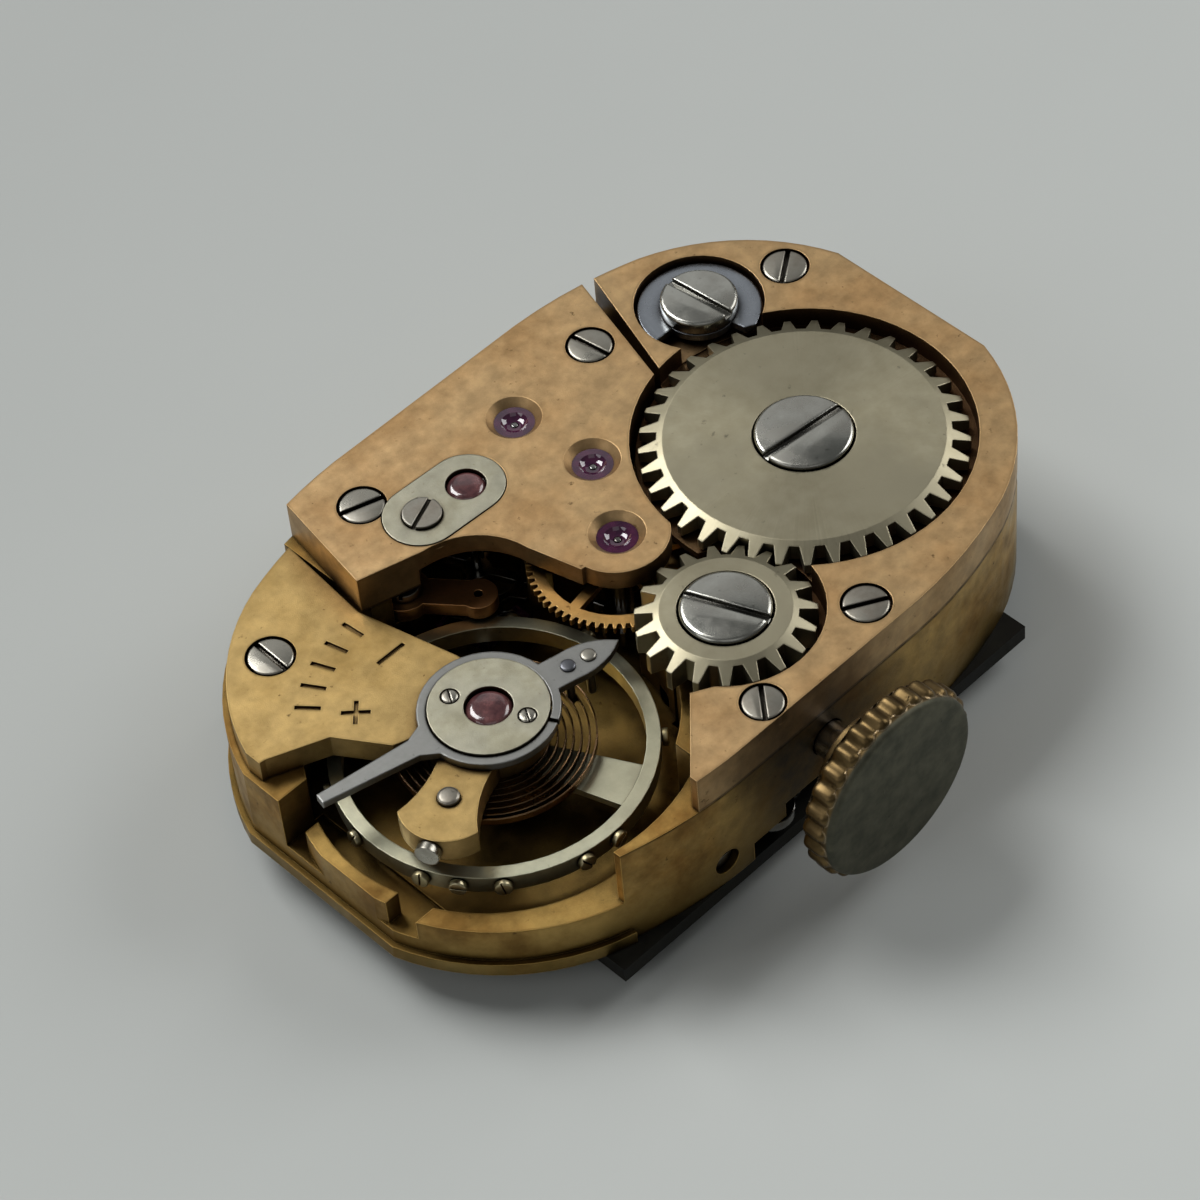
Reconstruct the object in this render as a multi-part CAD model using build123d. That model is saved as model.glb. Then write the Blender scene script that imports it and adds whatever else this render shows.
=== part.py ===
from build123d import *
import os
from math import acos, atan2, ceil, cos, degrees, hypot, pi, radians, sin

# A shaped ladies' watch movement, bridge side up, in millimetres. The origin is on the hand
# axis at the dial seat, +Z points to the bridges, +X to the barrel and -Y to the crown.
os.makedirs("parts", exist_ok=True)

# Overall outline and thicknesses
half_length = 9.03
half_width = 5.98
outline_shift = 0.10
plate_thick = 2.85
bridge_thick = 1.00
cock_thick = 0.60
dial_thick = 0.40
top_z = plate_thick + bridge_thick
cock_z = plate_thick - cock_thick

# Outline of the movement as shares of its half length and half width, one quarter
end_corner_share = (1.0, 0.36)
corner_arc_share = (0.891, 0.655)
shoulder_share = (0.662, 0.900)
shoulder_arc_share = (0.49, 0.968)
side_share = (0.30, 0.998)

# Axes of the moving pieces in plan as shares of the half length and half width
third_share = (0.1240, 0.3110)
fourth_share = (0.0952, 0.6689)
escape_share = (-0.1318, 0.5619)
balance_share = (-0.5216, -0.1488)
barrel_share = (0.5150, -0.1689)
crown_wheel_share = (0, -0.5301)
click_share = (0.6645, 0.5719)
minute_share = (-0.1296, -0.1555)
setting_wheel_share = (-0.0465, -0.3863)
setting_lever_share = (-0.1429, -0.9130)
yoke_share = (-0.2713, -0.6271)
stem_z = 1.96

# Places of screws and dial feet in plan as shares of the half length and half width
train_screw_shares = ((-0.3400, 0.7692), (0.3854, 0.7191))
barrel_screw_shares = ((0.8926, 0.4632), (0.2248, -0.8746))
cock_screw_share = (-0.7431, 0.6120)
cap_plate_end_share = (-0.2669, 0.5719)
dial_foot_shares = ((-0.3355, -0.8278), (0.3544, 0.8696))
cover_screw_share = (-0.2270, -0.7943)

# Clearances
running = 0.03
fit_gap = 0.02
side_gap = 0.08
overrun = 1.0

# Plate levels and pockets
sink_floor = 0.85
motion_depth = 0.53
post_top = cock_z
rim_wall_top = 1.30
ledge_top = 0.75
lip_top = 1.45
lip_width = 0.34
flange_height = 0.35
flange_reach = 0.12
slot_bottom = 2.25
sink_step = 0.55
train_pocket_radius = 1.45
escape_pocket_radius = 1.75
pallet_pocket_radius = 1.10
third_pocket_floor = 2.50
fourth_pocket_floor = 1.80
wheel_pocket_gap = 0.10

# Winding work
ratchet_teeth = 37
crown_teeth = 19
ratchet_thick = 0.45
crown_wheel_thick = 0.72
winding_recess_gap = 0.17
tooth_bevel = 0.53
bevel_drop = 0.20
ratchet_screw_radius = 1.07
crown_screw_radius = 0.98
big_head_thick = 0.30
head_proud = 0.10
core_radius = 0.72
winding_pinion_teeth = 12
winding_pinion_radius = 1.22
winding_pinion_length = 0.86
pinion_overlap = 0.69
clutch_radius = 0.84
clutch_length = 1.06
clutch_groove_radius = 0.52
clutch_groove_width = 0.34
clutch_teeth = 14
breguet_depth = 0.14
breguet_teeth = 10
tooth_root_share = 1.2
tooth_tip_share = 1.0
winding_tip_share = 0.95

# Stem and crown
stem_radius = 0.42
stem_core_radius = 0.26
stem_pilot_radius = 0.20
stem_pilot_end = 1.72
stem_groove_width = 0.32
stem_pull = 0.35
stem_square_half = 0.18
crown_radius = 2.25
crown_stand = 1.32
crown_thick = 0.72
crown_bevel = 0.14
crown_flutes = 28
knurl_depth = 0.12
crown_hub_radius = 1.05
crown_hub_length = 0.62

# Barrel
barrel_teeth = 70
centre_leaves = 10
drum_step = 0.07
drum_wall = 0.22
barrel_z = 0.92
barrel_tooth_height = 0.30
drum_height = 1.44
cover_thick = 0.16
arbor_radius = 0.85
arbor_pivot_radius = 0.55
arbor_square_half = 0.37
mainspring_strip = 0.12
mainspring_turns = 4
mainspring_height = 1.12

# Going train: teeth, levels and thickness
wheel_thick = 0.16
centre_wheel_teeth = 64
third_leaves = 8
third_wheel_teeth = 80
fourth_leaves = 8
fourth_wheel_teeth = 60
escape_leaves = 8
centre_wheel_z = 2.90
third_wheel_z = 2.63
fourth_wheel_z = 1.90
escape_wheel_z = 1.04
escape_radius = 1.50
escape_root_radius = 1.16
escape_teeth = 15
arbor_thin = 0.11
pivot_radius = 0.07
centre_arbor_radius = 0.24
centre_neck_radius = 0.13
rim_share = 0.84
centre_spoke_turn = 262

# Jewels and countersinks
jewel_radius = 0.45
jewel_thick = 0.26
countersink_radius = 0.62
countersink_depth = 0.16
bridge_web = 0.50
plate_jewel_radius = 0.34
plate_jewel_thick = 0.24
jewel_hole = pivot_radius + fit_gap

# Lever escapement
pallet_distance = 1.72
lever_z = 1.04
lever_thick = 0.14
lever_width = 0.20
stone_length = 0.42
stone_width = 0.14
stone_angle = 31.0
roller_radius = 0.72
roller_thick = 0.10
roller_z = 1.24
pallet_bridge_z = 1.94
pallet_bridge_thick = 0.34
pallet_foot_distance = 1.62
pallet_foot_angle = 128
pallet_foot_radius = 0.60
pallet_bar_half = 0.36
pallet_eye_radius = 0.42
impulse_radius = 0.62
impulse_pin_radius = 0.09
slot_width = 0.26

# Balance, hairspring, cock and regulator
pallet_room = 0.315
balance_clearance = 0.47
balance_rim = 0.30
balance_z = 1.40
balance_rim_height = 0.45
balance_arm_thick = 0.18
balance_arm_hub = 0.62
balance_arm_end = 1.15
balance_arm_angle = 112.4
balance_screw_radius = 0.15
balance_screw_proud = 0.14
screw_sides = 10
screw_angles = (8, 24, 52, 66, 97, 131, 148, 188, 204, 232, 246, 277, 311, 328)
staff_radius = 0.16
collet_radius = 0.30
hairspring_z = 1.92
hairspring_height = 0.20
hairspring_strip = 0.05
hairspring_turns = 4
boss_radius = 1.25
stud_arm_angle = 205.0
stud_distance = 2.30
stud_radius = 0.23
stud_angle_gap = 6
stud_proud = 0.08
arm_neck_half = 0.60
arm_end_half = 0.88
arm_corner = 2.94
arm_reach = 3.42
ring_inner = 1.31
ring_outer = 1.50
ring_thick = 0.18
pointer_angle = 168.0
pointer_reach = 4.05
pointer_root_half = 0.30
pointer_tip_half = 0.13
boot_angle = -13.0
boot_reach = 3.16
boot_half = 0.40
curb_middle = 2.17
curb_half_gap = 0.25
curb_radius = 0.16
cap_radius = 1.28
cap_thick = 0.26
cap_plate_half = 0.86
cap_jewel_radius = 0.52
cap_screw_radius = 0.19
cap_screw_distance = 0.86
cap_screw_angle = 115
slit_half = 0.05
slit_angle = -62.0
mark_length = 0.56
mark_width = 0.10
mark_depth = 0.06
mark_radius = 3.80
mark_step = 8.6
mark_count = 5
slow_mark_share = (-0.5504, 0.3035)
fast_mark_share = (-0.7243, 0.2007)
slow_mark_length = 0.74
fast_mark_length = 0.62

# Screws, with the directions in degrees of their slots
train_slot_turns = (161, 98)
barrel_slot_turns = (35, 150)
cock_slot_turn = 88
ratchet_slot_turn = 174
crown_wheel_slot_turn = 112
click_slot_turn = 95
setting_slot_turn = 50
escape_cap_slot_turn = 22
cap_slot_turn = 60
pallet_slot_turn = 40
head_radius = 0.50
head_thick = 0.28
head_gap = 0.05
slot_share = 0.22
screw_slot_depth = 0.10
shank_radius = 0.26
small_head_radius = 0.43
setting_head_radius = 0.45
click_head_radius = 0.86
click_head_thick = 0.32
click_recess_radius = 1.45
click_recess_depth = 0.48
click_thick = 0.18
click_gap_start = 180
click_gap_end = 280
click_spring_thick = 0.10
click_spring_width = 0.13
click_spring_start = 98
click_spring_end = 200

# Motion work and dial side
cannon_teeth = 10
minute_teeth = 30
minute_leaves = 8
hour_teeth = 32
motion_wheel_z = 0.30
motion_wheel_thick = 0.18
hour_wheel_z = 0.06
hour_wheel_thick = 0.14
cannon_radius = 0.30
hour_pipe_radius = 0.46
cannon_reach = 0.95
hour_shoulder_radius = 0.64
hour_seat_length = 0.23
lever_plate_z = 0.24
lever_plate_thick = 0.24
cover_plate_thick = 0.16
dial_half_length = 6.15
dial_half_width = 5.95
dial_hole_gap = 0.10
dial_shift = 0.05
dial_foot_radius = 0.34
dial_foot_height = 1.00
dial_screw_radius = 0.30
dial_screw_z = 0.66
dial_screw_inset = 0.20

# Plan shapes of the bridges as shares of the half length and half width
barrel_bridge_shares = (
    (0.585, 1.10),
    (0.436, 0.425),
    (0.288, 0.10),
    (0.172, -0.268),
    (0.061, -0.390),
    (-0.094, -0.452),
    (-0.105, -0.585),
    (-0.181, -0.746),
    (-0.234, -0.702),
    (-0.405, -0.955),
    (-0.405, -1.10),
    (1.10, -1.10),
    (1.10, 1.10),
)
train_bridge_shares = (
    (-0.443, 1.10),
    (-0.509, 0.520),
    (-0.345, 0.448),
)
train_bridge_arc_share = (-0.219, 0.351)
train_bridge_waist_shares = (
    (-0.172, 0.184),
    (-0.136, -0.030),
    (0.122, -0.067),
    (0.417, 0.433),
    (0.545, 1.10),
)
lever_recess_shares = (
    (0.022, -0.62),
    (0.022, -1.10),
    (-0.20, -1.10),
    (-0.30, -0.90),
    (-0.36, -0.62),
    (-0.30, -0.50),
)
setting_cover_shares = (
    (-0.05, -0.66),
    (-0.05, -0.93),
    (-0.19, -0.94),
    (-0.285, -0.88),
    (-0.335, -0.62),
    (-0.29, -0.56),
)
lobe_radius = 1.14
cock_right_shares = ((-0.477, 1.10), (-0.514, 0.528), (-0.452, 0.129))
cock_notch_shares = ((-0.733, -0.002), (-0.813, 0.187), (-0.958, 0.281), (-1.10, 0.300))
cock_inset = 0.14
bridge_gap = 0.10


# Small helpers for repeated forms
def cyl(radius, low, high, place=(0, 0)):
    """Upright cylinder between two heights."""
    blank = Cylinder(radius, high - low, align=(Align.CENTER, Align.CENTER, Align.MIN))
    return Pos(place[0], place[1], low) * blank


def block(x_low, x_high, y_low, y_high, low, high):
    """Box between six faces."""
    centre = Pos((x_low + x_high) / 2, (y_low + y_high) / 2, (low + high) / 2)
    return centre * Box(x_high - x_low, y_high - y_low, high - low)


def prism(points, low, high):
    """Upright prism over a closed outline of straight edges."""
    face = make_face(Polyline(*points, close=True))
    return Pos(0, 0, low) * extrude(face, amount=high - low, dir=(0, 0, 1))


def prism_of(edges, low, high):
    """Upright prism over a closed outline of lines and arcs."""
    face = make_face(Wire(edges))
    return Pos(0, 0, low) * extrude(face, amount=high - low, dir=(0, 0, 1))


def at_share(share):
    """Plan point from its shares of the half length and half width."""
    return (share[0] * half_length, share[1] * half_width)


def from_shares(shares):
    """Outline points from shares of the half length and half width."""
    return [at_share(share) for share in shares]


def apart(first, second):
    """Distance between two plan points."""
    return hypot(second[0] - first[0], second[1] - first[1])


def polar(radius, angle, centre=(0, 0)):
    """Point at a radius and an angle in degrees about a centre."""
    a = radians(angle)
    return (centre[0] + radius * cos(a), centre[1] + radius * sin(a))


def bearing(start, end):
    """Direction in degrees from one plan point to another."""
    return degrees(atan2(end[1] - start[1], end[0] - start[0]))


def tonneau(grow, low, high):
    """Prism over the movement's outline, grown all round by a small amount."""
    length = half_length + grow
    width = half_width + grow

    def at(share, sx, sy):
        return (outline_shift + sx * share[0] * length, sy * share[1] * width)

    edges = []
    for sx, sy in ((1, 1), (-1, 1), (-1, -1), (1, -1)):
        quarter = [
            ThreePointArc(
                at(end_corner_share, sx, sy), at(corner_arc_share, sx, sy), at(shoulder_share, sx, sy)
            ),
            ThreePointArc(
                at(shoulder_share, sx, sy), at(shoulder_arc_share, sx, sy), at(side_share, sx, sy)
            ),
        ]
        edges += quarter
    for sy in (1, -1):
        edges.append(Line(at(side_share, 1, sy), at(side_share, -1, sy)))
    for sx in (1, -1):
        edges.append(Line(at(end_corner_share, sx, 1), at(end_corner_share, sx, -1)))
    return prism_of(edges, low, high)


def gear(teeth, module, low, high, place, toward, tooth_faces=True, tip_share=tooth_tip_share):
    """Spur gear whose tooth, or tooth gap, faces a direction in plan."""
    pitch_radius = module * teeth / 2
    tip = pitch_radius + module * tip_share
    root = pitch_radius - module * tooth_root_share
    step = 360 / teeth
    turn = toward if tooth_faces else toward + step / 2
    points = []
    for k in range(teeth):
        middle = turn + k * step
        for radius, share in ((root, -0.30), (tip, -0.11), (tip, 0.11), (root, 0.30)):
            points.append(polar(radius, middle + share * step, place))
    return prism(points, low, high)


def fine_gear(teeth, module, low, high, place, toward):
    """Fine spur wheel of pointed teeth, one of which faces a direction in plan."""
    pitch_radius = module * teeth / 2
    step = 360 / teeth
    points = []
    for k in range(teeth):
        middle = toward + k * step
        points.append(polar(pitch_radius + module * tooth_tip_share, middle, place))
        points.append(polar(pitch_radius - module * tooth_root_share, middle + step / 2, place))
    return prism(points, low, high)


def crossed(wheel, rim_inner, hub, spokes, spoke_half, low, high, place, turn=0):
    """Cuts the openings between the spokes of a wheel."""
    opening = cyl(rim_inner, low - overrun, high + overrun, place)
    opening -= cyl(hub, low - overrun, high + overrun, place)
    for k in range(spokes):
        bar = block(0, rim_inner + overrun, -spoke_half, spoke_half, low - overrun, high + overrun)
        opening -= Pos(place[0], place[1], 0) * Rot(0, 0, turn + k * 360 / spokes) * bar
    return wheel - opening


def slotted(radius, low, high, place, turn, depth=screw_slot_depth):
    """Screw head with its slot."""
    head = cyl(radius, low, high, place)
    half = radius * slot_share / 2
    slot = block(-radius - overrun, radius + overrun, -half, half, high - depth, high + overrun)
    return head - Pos(place[0], place[1], 0) * Rot(0, 0, turn) * slot


def screw(place, radius, head_low, head_high, shank, shank_low, turn):
    """Screw with a slotted head and a plain shank."""
    return slotted(radius, head_low, head_high, place, turn) + cyl(shank, shank_low, head_low, place)


def spiral(inner, outer, turns, strip, low, high, centre, end_turn=0, outer_arc=0, mirrored=False):
    """Flat coiled strip of half-turn arcs as one solid, and its least gap to itself.

    The last half turn ends on the bearing end_turn. After it the strip may go on at one
    radius for outer_arc degrees. A mirrored strip coils outwards clockwise.
    """
    halves = 2 * turns
    rise = (outer - inner) / halves

    def side(offset):
        arcs = []
        shift = 0
        radius = inner
        for k in range(halves):
            r = radius + offset
            sign = 1 if k % 2 == 0 else -1
            arcs.append(((shift + sign * r, 0), (shift, sign * r), (shift - sign * r, 0)))
            shift += sign * rise
            radius += rise
        if outer_arc:
            r = arcs[-1][2][0]
            arcs.append(((r, 0), polar(r, outer_arc / 2), polar(r, outer_arc)))
        return arcs

    outside = side(strip / 2)
    inside = side(-strip / 2)
    edges = [ThreePointArc(*a) for a in outside] + [ThreePointArc(*a) for a in inside]
    edges.append(Line(outside[0][0], inside[0][0]))
    edges.append(Line(outside[-1][2], inside[-1][2]))
    coil = prism_of(edges, low, high)
    if mirrored:
        coil = mirror(coil, Plane.XZ)
    return Pos(*centre, 0) * Rot(0, 0, end_turn) * coil, 2 * rise - strip


def revolved(points, place=(0, 0)):
    """Solid of revolution about an upright axis from radius and height pairs."""
    face = make_face(Polyline(*[(r, 0, z) for r, z in points], close=True))
    return Pos(place[0], place[1], 0) * revolve(face, Axis.Z)


def along_stem(radius, near, far):
    """Round bar on the stem's axis between two distances from the hand axis."""
    bar = Cylinder(radius, far - near, align=(Align.CENTER, Align.CENTER, Align.MIN))
    return Pos(0, -near, stem_z) * Rot(90, 0, 0) * bar


def stem_ring(points, near, length):
    """Toothed ring on the stem's axis over an outline drawn about it."""
    face = make_face(Polyline(*points, close=True))
    ring = extrude(face, amount=length, dir=(0, 0, 1))
    return Pos(0, -near, stem_z) * Rot(90, 0, 0) * ring


def tooth_ring(teeth, tip, root, turn, narrow=0.14, wide=0.27):
    """Outline points of a toothed ring about the origin."""
    step = 360 / teeth
    points = []
    for k in range(teeth):
        middle = turn + k * step
        for radius, share in ((root, -wide), (tip, -narrow), (tip, narrow), (root, wide)):
            points.append(polar(radius, middle + share * step))
    return points


# Sizes that follow from the ones above
third_axis = at_share(third_share)
fourth_axis = at_share(fourth_share)
escape_axis = at_share(escape_share)
balance_axis = at_share(balance_share)
barrel_axis = at_share(barrel_share)
crown_wheel_axis = at_share(crown_wheel_share)
click_axis = at_share(click_share)
minute_axis = at_share(minute_share)
setting_wheel_axis = at_share(setting_wheel_share)
setting_lever_axis = at_share(setting_lever_share)
yoke_axis = at_share(yoke_share)
winding_module = 2 * apart(barrel_axis, crown_wheel_axis) / (ratchet_teeth + crown_teeth)
ratchet_pitch = winding_module * ratchet_teeth / 2
crown_pitch = winding_module * crown_teeth / 2
ratchet_tip = ratchet_pitch + winding_module
crown_tip = crown_pitch + winding_module
ratchet_face_radius = ratchet_tip - tooth_bevel
crown_face_radius = crown_tip - tooth_bevel
ratchet_z = top_z - ratchet_thick
crown_wheel_z = top_z - crown_wheel_thick
ratchet_recess = ratchet_tip + winding_recess_gap
crown_recess = crown_tip + winding_recess_gap
winding_pinion_start = crown_pitch - crown_wheel_axis[1] - pinion_overlap
winding_pinion_end = winding_pinion_start + winding_pinion_length
clutch_start = winding_pinion_start - breguet_depth - clutch_length
clutch_groove_start = clutch_start + clutch_length * 0.46
groove_start = winding_pinion_end + side_gap * 2.2
centre_module = 2 * apart((0, 0), third_axis) / (centre_wheel_teeth + third_leaves)
third_module = 2 * apart(third_axis, fourth_axis) / (third_wheel_teeth + fourth_leaves)
fourth_module = 2 * apart(fourth_axis, escape_axis) / (fourth_wheel_teeth + escape_leaves)
centre_tip = centre_module * (centre_wheel_teeth / 2 + 1)
third_tip = third_module * (third_wheel_teeth / 2 + 1)
fourth_tip = fourth_module * (fourth_wheel_teeth / 2 + 1)
barrel_module = 2 * apart((0, 0), barrel_axis) / (barrel_teeth + centre_leaves)
barrel_tip = barrel_module * (barrel_teeth / 2 + 1)
barrel_recess = barrel_tip + wheel_pocket_gap
drum_radius = barrel_module * (barrel_teeth / 2 - tooth_root_share) - drum_step
cover_z = barrel_z + drum_height
motion_module = 2 * apart((0, 0), minute_axis) / (cannon_teeth + minute_teeth)
hour_module = 2 * apart((0, 0), minute_axis) / (minute_leaves + hour_teeth)
web_z = top_z - bridge_web
jewel_low = top_z - countersink_depth - jewel_thick
staff_top = cock_z + cock_thick * 0.62
pallet_line = bearing(escape_axis, balance_axis)
pallet_axis = polar(pallet_distance, pallet_line, escape_axis)
lever_line = bearing(pallet_axis, balance_axis)
lever_length = apart(pallet_axis, balance_axis)
balance_radius = lever_length - pallet_room
sink_radius = balance_radius + balance_clearance
sink_step_radius = sink_radius + sink_step
pallet_foot = polar(pallet_foot_distance, pallet_foot_angle, pallet_axis)
stud_place = polar(stud_distance, stud_arm_angle, balance_axis)
curb_inner = curb_middle - curb_half_gap
curb_outer = curb_middle + curb_half_gap
crown_back = half_width + crown_stand
hub_end = crown_back - crown_hub_length
ring_low = plate_thick + fit_gap
ring_high = ring_low + ring_thick
cap_top = plate_thick + cap_thick
click_spring_z = top_z - click_recess_depth + fit_gap
click_z = click_spring_z + click_spring_thick + fit_gap
minute_line = bearing((0, 0), minute_axis)
setting_line = bearing(minute_axis, setting_wheel_axis)
setting_pitch = apart(minute_axis, setting_wheel_axis) - motion_module * minute_teeth / 2
setting_teeth = round(2 * setting_pitch / motion_module)
setting_wheel_top = stem_z - clutch_radius
hour_seat_z = -dial_thick - fit_gap
hour_pipe_end = hour_seat_z - hour_seat_length
dial_hole_radius = hour_shoulder_radius + dial_hole_gap
cover_screw_place = at_share(cover_screw_share)
dial_foot_places = from_shares(dial_foot_shares)
stem_thread_radius = stem_core_radius * 1.1
small_shank_radius = shank_radius * 0.7
cap_shank_radius = cap_screw_radius * 0.6
wheel_post_radius = cannon_radius * 0.6
yoke_post_radius = cannon_radius * 0.8

# Screws of the bridges with the directions of their slots, and the cap plate's ends
train_screws = tuple(zip(from_shares(train_screw_shares), train_slot_turns))
barrel_screws = tuple(zip(from_shares(barrel_screw_shares), barrel_slot_turns))
cock_screw = (at_share(cock_screw_share), cock_slot_turn)
cap_plate_ends = (at_share(cap_plate_end_share), escape_axis)


# Structure
def main_plate():
    """Base of the movement with every pocket, seat, hole and step."""
    plate = tonneau(0, 0, plate_thick) + rim_flange()
    plate = balance_end(plate)
    plate = train_pockets(plate)
    plate = stem_side(plate)
    plate = dial_side(plate)
    plate = screw_holes(plate)
    # Posts of the levers and of the minute and setting wheels
    plate += cyl(wheel_post_radius, 0, motion_depth, minute_axis)
    plate += cyl(wheel_post_radius, lever_plate_z, setting_wheel_top + side_gap, setting_wheel_axis)
    plate += cyl(yoke_post_radius, lever_plate_z, motion_depth, yoke_axis)
    plate += cyl(pallet_foot_radius, sink_floor - plate_jewel_thick, pallet_bridge_z, pallet_foot)
    plate -= pallet_bridge_form(side_gap, pallet_bridge_z, plate_thick + overrun)
    plate -= cyl(small_shank_radius + fit_gap, sink_floor, plate_thick, pallet_foot)
    return plate - setting_pin_slot()


def rim_flange():
    """Low flange round the balance end of the plate."""
    flange = tonneau(flange_reach, 0, flange_height)
    far = half_length + half_width
    return flange & block(-far, -half_length * 0.6, -far, far, 0, plate_thick)


def balance_end(plate):
    """Steps the plate down at the balance end and cuts the balance's sink."""
    far = half_length + half_width
    high = plate_thick + overrun
    step_x = -half_length * 0.612
    plate -= block(-far, -half_length * 0.488, 0, far, post_top, high)
    plate -= block(-far, -half_length * 0.488, -half_width * 0.60, 0, rim_wall_top, high)
    plate -= block(-far, step_x, -far, 0, rim_wall_top, high)
    plate -= block(-far, -half_length * 0.875, -half_width * 0.45, half_width * 0.18, ledge_top, high)
    plate -= cyl(sink_radius, sink_floor, high, balance_axis)
    ring = cyl(sink_step_radius, rim_wall_top, high, balance_axis)
    plate -= ring & block(step_x, -half_length * 0.30, -far, 0, rim_wall_top, high)
    lip = cyl(sink_radius + lip_width, ledge_top, lip_top, balance_axis)
    lip -= cyl(sink_radius, 0, plate_thick, balance_axis)
    lip &= block(-far, -half_length * 0.87, -half_width * 0.33, half_width * 0.10, 0, plate_thick)
    return plate + (lip & tonneau(0, 0, plate_thick))


def train_pockets(plate):
    """Pockets for the barrel, the train wheels and the pallet fork."""
    high = plate_thick + overrun
    middle = ((third_axis[0] + fourth_axis[0]) / 2, (third_axis[1] + fourth_axis[1]) / 2)
    for radius, floor, place in (
        (barrel_recess, sink_floor, barrel_axis),
        (train_pocket_radius, sink_floor, (0, 0)),
        (escape_pocket_radius, sink_floor, escape_axis),
        (pallet_pocket_radius, sink_floor, pallet_axis),
        (third_tip + wheel_pocket_gap, third_pocket_floor, third_axis),
        (fourth_tip + wheel_pocket_gap, fourth_pocket_floor, fourth_axis),
        (train_pocket_radius * 0.62, sink_floor, middle),
    ):
        plate -= cyl(radius, floor, high, place)
    # Slot in the rim where the barrel's recess opens beside its bridge
    far = half_length + half_width
    slot = cyl(barrel_recess + overrun, slot_bottom, high, barrel_axis)
    slot &= block(half_length * 0.815, far, -half_width * 0.86, -half_width * 0.20, 0, far)
    return plate - slot


def stem_side(plate):
    """Opening for the winding and sliding pinions, and the stem's bearings."""
    far = half_length + half_width
    half = winding_pinion_radius + side_gap
    opening_far = winding_pinion_end + side_gap
    opening_near = clutch_start - half_width * 0.06
    plate -= block(-half, half, -opening_far, -opening_near, 0, plate_thick + overrun)
    plate -= block(-half, half, -far, -opening_far + overrun / 2, 0, stem_z - stem_radius * 2.4)
    plate -= along_stem(stem_radius + fit_gap, opening_far - overrun / 2, half_width + overrun)
    pilot_end = opening_near + overrun / 2
    return plate - along_stem(stem_pilot_radius + fit_gap, stem_pilot_end - fit_gap * 2, pilot_end)


def dial_side(plate):
    """Recesses of the motion work, the setting wheel and the levers."""
    minute_tip = motion_module * (minute_teeth / 2 + 1)
    hour_tip = hour_module * (hour_teeth / 2 + 1)
    plate -= cyl(minute_tip + side_gap, -overrun, motion_depth, minute_axis)
    plate -= cyl(hour_tip + side_gap, -overrun, motion_depth)
    setting_tip = setting_pitch + motion_module
    plate -= cyl(setting_tip + side_gap, -overrun, setting_wheel_top + side_gap, setting_wheel_axis)
    return plate - lever_recess(-overrun, motion_depth)


def screw_holes(plate):
    """Bearings of the axes, holes of the screws and holes of the dial's feet."""
    high = plate_thick + overrun
    plate -= cyl(centre_arbor_radius + running, -overrun, plate_thick)
    for place in (third_axis, fourth_axis, escape_axis, pallet_axis, balance_axis):
        plate -= cyl(plate_jewel_radius, sink_floor - plate_jewel_thick, plate_thick, place)
    plate -= cyl(pivot_radius * 2, motion_depth, sink_floor, balance_axis)
    plate -= cyl(arbor_pivot_radius * 0.6 + running, -overrun, sink_floor + overrun / 2, barrel_axis)
    for place, turn in train_screws + barrel_screws + (cock_screw,):
        plate -= cyl(shank_radius + fit_gap, motion_depth, high, place)
    plate -= cyl(shank_radius + fit_gap, -overrun, high, setting_lever_axis)
    for place in dial_foot_places:
        plate -= cyl(dial_foot_radius + fit_gap, -overrun, dial_foot_height + fit_gap, place)
        side, start = dial_screw_seat(place)
        plate -= across(dial_screw_radius + fit_gap, overrun * 2, place[0], start, side)
    return plate


def dial_screw_seat(place):
    """Side of the movement that a dial screw enters from, and where its tip meets the foot."""
    side = 1 if place[1] > 0 else -1
    return side, place[1] + side * (dial_foot_radius + fit_gap)


def across(radius, length, x, start, side):
    """Level round bar that runs outwards across the movement from a place beside a dial foot."""
    bar = Cylinder(radius, length, align=(Align.CENTER, Align.CENTER, Align.MIN))
    return Pos(x, start, dial_screw_z) * Rot(-90 * side, 0, 0) * bar


def setting_pin_slot():
    """Slot in the plate for the setting lever's pin and its travel."""
    half = stem_groove_width / 2
    pin_y = groove_start + half
    return block(-half, half, -pin_y - stem_pull - half, -pin_y + half, motion_depth, stem_z)


def lever_recess(low, high):
    """Space on the dial side for the setting lever, the yoke and their cover."""
    return prism(from_shares(lever_recess_shares), low, high)


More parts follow.
